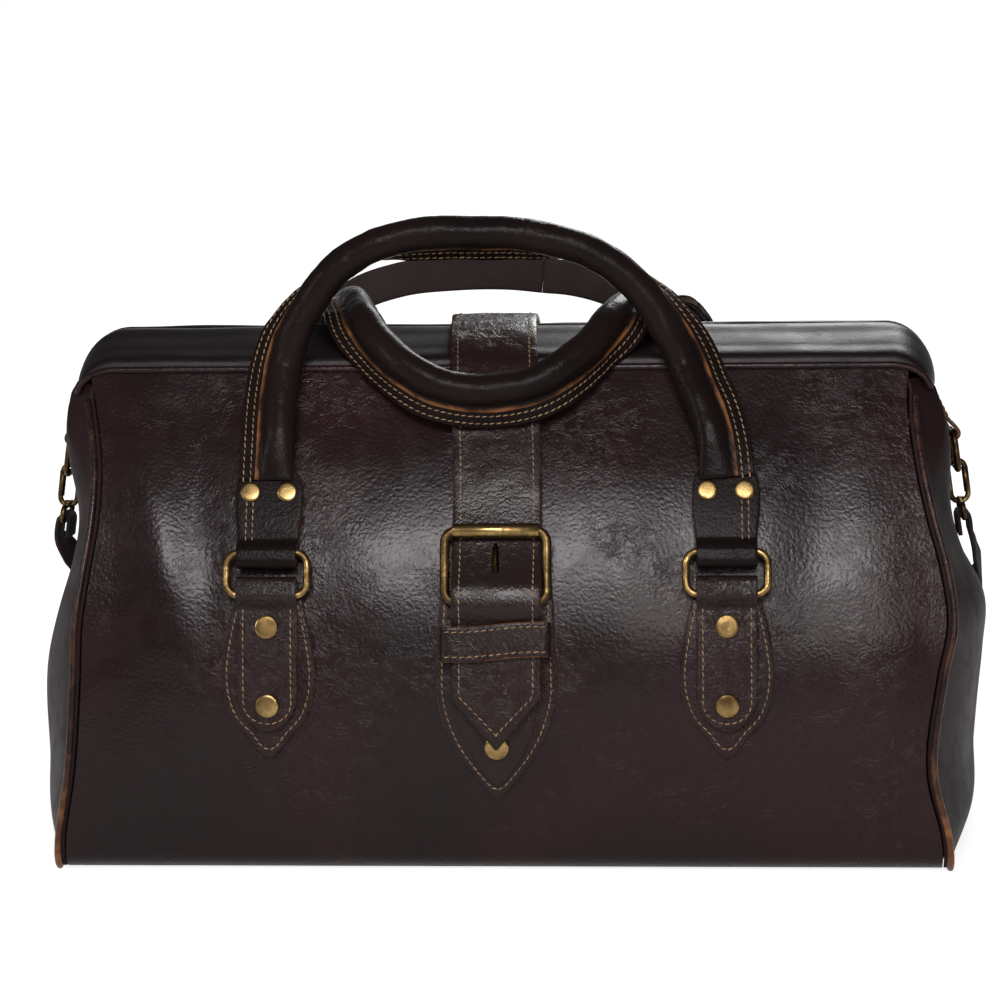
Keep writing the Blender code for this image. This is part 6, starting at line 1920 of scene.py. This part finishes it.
def build_world():
    settings = bpy.context.scene.bag_stage
    world = bpy.data.worlds.new("studio")
    bpy.context.scene.world = world
    world.use_nodes = True
    tree = world.node_tree
    around = new_node(tree, "ShaderNodeTexCoord").outputs["Generated"]
    way = new_node(tree, "ShaderNodeSeparateXYZ", {0: around})
    behind = ranged(tree, way.outputs[1], 0.90, 0.99, settings.gloss_room, 1.0)
    seen, glossy = ray_kinds(tree)
    plain = math_node(tree, "SUBTRACT", 1.0, math_node(tree, "MAXIMUM", seen, glossy))
    mirrored = math_node(tree, "MULTIPLY", glossy, behind)
    total = math_node(tree, "ADD", seen, mirrored)
    total = math_node(tree, "ADD", total, math_node(tree, "MULTIPLY", plain, settings.fill))
    values = {"Color": (1.0, 1.0, 1.0, 1.0), "Strength": total}
    wire(tree, tree.nodes["Background"], values)


def build_camera():
    data = bpy.data.cameras.new("camera")
    data.sensor_width = CAMERA_SENSOR
    data.lens = CAMERA_LENS
    data.clip_end = 20.0
    camera = bpy.data.objects.new("camera", data)
    bpy.context.scene.collection.objects.link(camera)
    away = Vector(
        (
            math.sin(CAMERA_TURN) * math.cos(CAMERA_RISE),
            -math.cos(CAMERA_TURN) * math.cos(CAMERA_RISE),
            math.sin(CAMERA_RISE),
        )
    )
    right = (-away).cross(Vector((0.0, 0.0, 1.0))).normalized()
    up = right.cross(-away)
    turned = right * math.cos(CAMERA_ROLL) + up * math.sin(CAMERA_ROLL)
    upright = up * math.cos(CAMERA_ROLL) - right * math.sin(CAMERA_ROLL)
    place = CAMERA_TARGET + away * CAMERA_DISTANCE
    camera.matrix_world = Matrix(
        (
            (turned[0], upright[0], away[0], place[0]),
            (turned[1], upright[1], away[1], place[1]),
            (turned[2], upright[2], away[2], place[2]),
            (0.0, 0.0, 0.0, 1.0),
        )
    )
    bpy.context.scene.camera = camera


# Settings, operators and panel


def colour_setting(name, description, default):
    limits = {"size": 3, "min": 0.0, "max": 1.0, "subtype": "COLOR"}
    return bpy.props.FloatVectorProperty(
        name=name, description=description, default=default, **limits
    )


def number_setting(name, description, default, **limits):
    return bpy.props.FloatProperty(name=name, description=description, default=default, **limits)


class BagLeatherSettings(bpy.types.PropertyGroup):
    """Colours and shine of the leathers."""

    wall_colour: colour_setting("Walls", "Walls and gussets", (0.0058, 0.0030, 0.0033))
    warm_colour: colour_setting("Warm tone", "Reddish tone in patches", (0.0118, 0.0038, 0.0040))
    strap_colour: colour_setting("Straps", "Straps, tabs and patches", (0.0082, 0.0052, 0.0045))
    handle_colour: colour_setting("Handles", "Rolled handles", (0.0046, 0.0029, 0.0029))
    edge_colour: colour_setting("Cut edges", "Tan of the cut edges", (0.125, 0.052, 0.019))
    flesh_colour: colour_setting("Flesh side", "Back of the leather", (0.0120, 0.0072, 0.0066))
    taupe_colour: colour_setting("Flesh tone", "Lighter tone of the back", (0.0200, 0.0128, 0.0115))
    shine: number_setting("Shine", "Specular level of the waxed skin", 0.15, min=0.0, max=1.0)


class BagSewingSettings(bpy.types.PropertyGroup):
    """Sizes and colour of the stitching."""

    pitch: number_setting("Pitch", "Distance from stitch to stitch", 0.0037, unit="LENGTH")
    stitch_length: number_setting("Stitch", "Length of one stitch", 0.0032, unit="LENGTH")
    thread_width: number_setting("Thread", "Thickness of the thread", 0.00072, unit="LENGTH")
    slant: number_setting("Slant", "Turn of each stitch from its row", 0.15, subtype="ANGLE")
    thread_colour: colour_setting("Thread colour", "Golden tan", (0.175, 0.112, 0.050))


class BagMetalSettings(bpy.types.PropertyGroup):
    """Colours of the aged brass."""

    brass_colour: colour_setting("Brass", "Colour of the rubbed brass", (0.42, 0.285, 0.11))
    patina_colour: colour_setting("Patina", "Colour of the dark patches", (0.085, 0.052, 0.021))


class BagStageSettings(bpy.types.PropertyGroup):
    """Floor and light."""

    floor_colour: colour_setting("Floor", "Colour of the floor", (0.86, 0.86, 0.86))
    whiteness: number_setting("Whiteness", "Plain white near the bag", 0.72, min=0.0, max=1.0)
    glow: number_setting("Glow", "Brightness of the floor's plain white", 1.15, min=0.0)
    gloss_room: number_setting("Room in gloss", "Room in reflections", 0.10, min=0.0)
    gloss_floor: number_setting("Floor in gloss", "White of the mirrored floor", 0.22, min=0.0)
    fill: number_setting("Fill", "Brightness of the room's light", 0.48, min=0.0)
    key_power: number_setting("Key light", "Soft box over the front", 20.0, unit="POWER")
    low_power: number_setting("Low light", "Low soft box in front", 4.0, unit="POWER")
    back_power: number_setting("Back light", "Soft box behind the bag", 13.0, unit="POWER")
    side_power: number_setting("Side light", "Soft box at the left", 5.0, unit="POWER")


class BAG_OT_body(bpy.types.Operator):
    """Add the leather walls, gussets, seams and base."""

    bl_idname = "bag.add_body"
    bl_label = "Add body"

    def execute(self, context):
        for side_name, side in SIDES.items():
            build_wall(side_name, side)
            for end_name, end in ENDS.items():
                build_gusset_half(end_name, end, side_name, side)
                build_welt(end_name, end, side_name, side)
        build_base()
        return {"FINISHED"}


class BAG_OT_mouth(bpy.types.Operator):
    """Add the leather over the frame's jaws, and finish the steel."""

    bl_idname = "bag.add_mouth"
    bl_label = "Add mouth"

    def execute(self, context):
        for side_name, side in SIDES.items():
            build_cover(side_name, side)
        for end_name in ENDS:
            finish_node("hinge_pin_" + end_name, plain_steel())
        return {"FINISHED"}


class BAG_OT_tabs(bpy.types.Operator):
    """Add the leaf patches, the ring tabs and the rings."""

    bl_idname = "bag.add_tabs"
    bl_label = "Add tabs and rings"

    def execute(self, context):
        for side_name, side in SIDES.items():
            for end_name, end in ENDS.items():
                where = side_name + "_" + end_name
                build_patch(where, end, side)
                build_tab(where, end, side)
                build_ring(where, end, side)
        return {"FINISHED"}


class BAG_OT_handles(bpy.types.Operator):
    """Add the rolled handles with their flat ends."""

    bl_idname = "bag.add_handles"
    bl_label = "Add handles"

    def execute(self, context):
        for side_name, side in SIDES.items():
            build_handle(side_name, side)
        return {"FINISHED"}


class BAG_OT_closing_strap(bpy.types.Operator):
    """Add the closing strap, its leaf, chape and keeper, and the buckle."""

    bl_idname = "bag.add_closing_strap"
    bl_label = "Add closing strap"

    def execute(self, context):
        build_leaf()
        build_chape()
        build_closing_strap()
        build_keeper()
        build_buckle()
        return {"FINISHED"}


class BAG_OT_shoulder_strap(bpy.types.Operator):
    """Add the side tabs, D-rings, hooks and the shoulder strap."""

    bl_idname = "bag.add_shoulder_strap"
    bl_label = "Add shoulder strap"

    def execute(self, context):
        for end_name, end in ENDS.items():
            build_side_tab(end_name, end)
            build_side_hardware(end_name, end)
        build_shoulder_strap()
        return {"FINISHED"}


class BAG_OT_stitches(bpy.types.Operator):
    """Sew every stitch row that the other pieces have laid out."""

    bl_idname = "bag.add_stitches"
    bl_label = "Add stitches"

    def execute(self, context):
        build_stitches()
        return {"FINISHED"}


class BAG_OT_rivets(bpy.types.Operator):
    """Set the rivet heads of the tabs, the handles and the chape."""

    bl_idname = "bag.add_rivets"
    bl_label = "Add rivets"

    def execute(self, context):
        build_rivets()
        return {"FINISHED"}


class BAG_OT_stage(bpy.types.Operator):
    """Set the floor, the room, the lights and the camera."""

    bl_idname = "bag.set_stage"
    bl_label = "Set stage"

    def execute(self, context):
        settings = context.scene.bag_stage
        build_floor()
        build_world()
        for name, place, target, size, colour in LAMPS:
            area_light(name, place, target, size, getattr(settings, name + "_power"), colour)
        build_camera()
        context.scene.view_settings.view_transform = "Standard"
        return {"FINISHED"}


STEPS = (
    BAG_OT_body,
    BAG_OT_mouth,
    BAG_OT_tabs,
    BAG_OT_handles,
    BAG_OT_closing_strap,
    BAG_OT_shoulder_strap,
    BAG_OT_stitches,
    BAG_OT_rivets,
    BAG_OT_stage,
)
GROUPS = {
    "bag_leather": BagLeatherSettings,
    "bag_sewing": BagSewingSettings,
    "bag_metal": BagMetalSettings,
    "bag_stage": BagStageSettings,
}


class BAG_PT_panel(bpy.types.Panel):
    """Settings and steps of the bag."""

    bl_idname = "BAG_PT_panel"
    bl_label = "Travel bag"
    bl_space_type = "VIEW_3D"
    bl_region_type = "UI"
    bl_category = "Bag"

    def draw(self, context):
        for group, kind in GROUPS.items():
            box = self.layout.box()
            for key in kind.__annotations__:
                box.prop(getattr(context.scene, group), key)
        for step in STEPS:
            self.layout.operator(step.bl_idname)


def register():
    for kind in (*GROUPS.values(), *STEPS, BAG_PT_panel):
        bpy.utils.register_class(kind)
    for name, kind in GROUPS.items():
        setattr(bpy.types.Scene, name, bpy.props.PointerProperty(type=kind))


def unregister():
    for name in GROUPS:
        delattr(bpy.types.Scene, name)
    for kind in (BAG_PT_panel, *reversed(STEPS), *reversed(GROUPS.values())):
        bpy.utils.unregister_class(kind)


def main():
    register()
    bpy.ops.bag.add_body()
    bpy.ops.bag.add_mouth()
    bpy.ops.bag.add_tabs()
    bpy.ops.bag.add_handles()
    bpy.ops.bag.add_closing_strap()
    bpy.ops.bag.add_shoulder_strap()
    bpy.ops.bag.add_stitches()
    bpy.ops.bag.add_rivets()
    bpy.ops.bag.set_stage()
    boxes = {"cad": CAD_BOX, "visual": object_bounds()}
    plain = {name: [list(map(float, corner)) for corner in box] for name, box in boxes.items()}


if __name__ == "__main__":
    main()
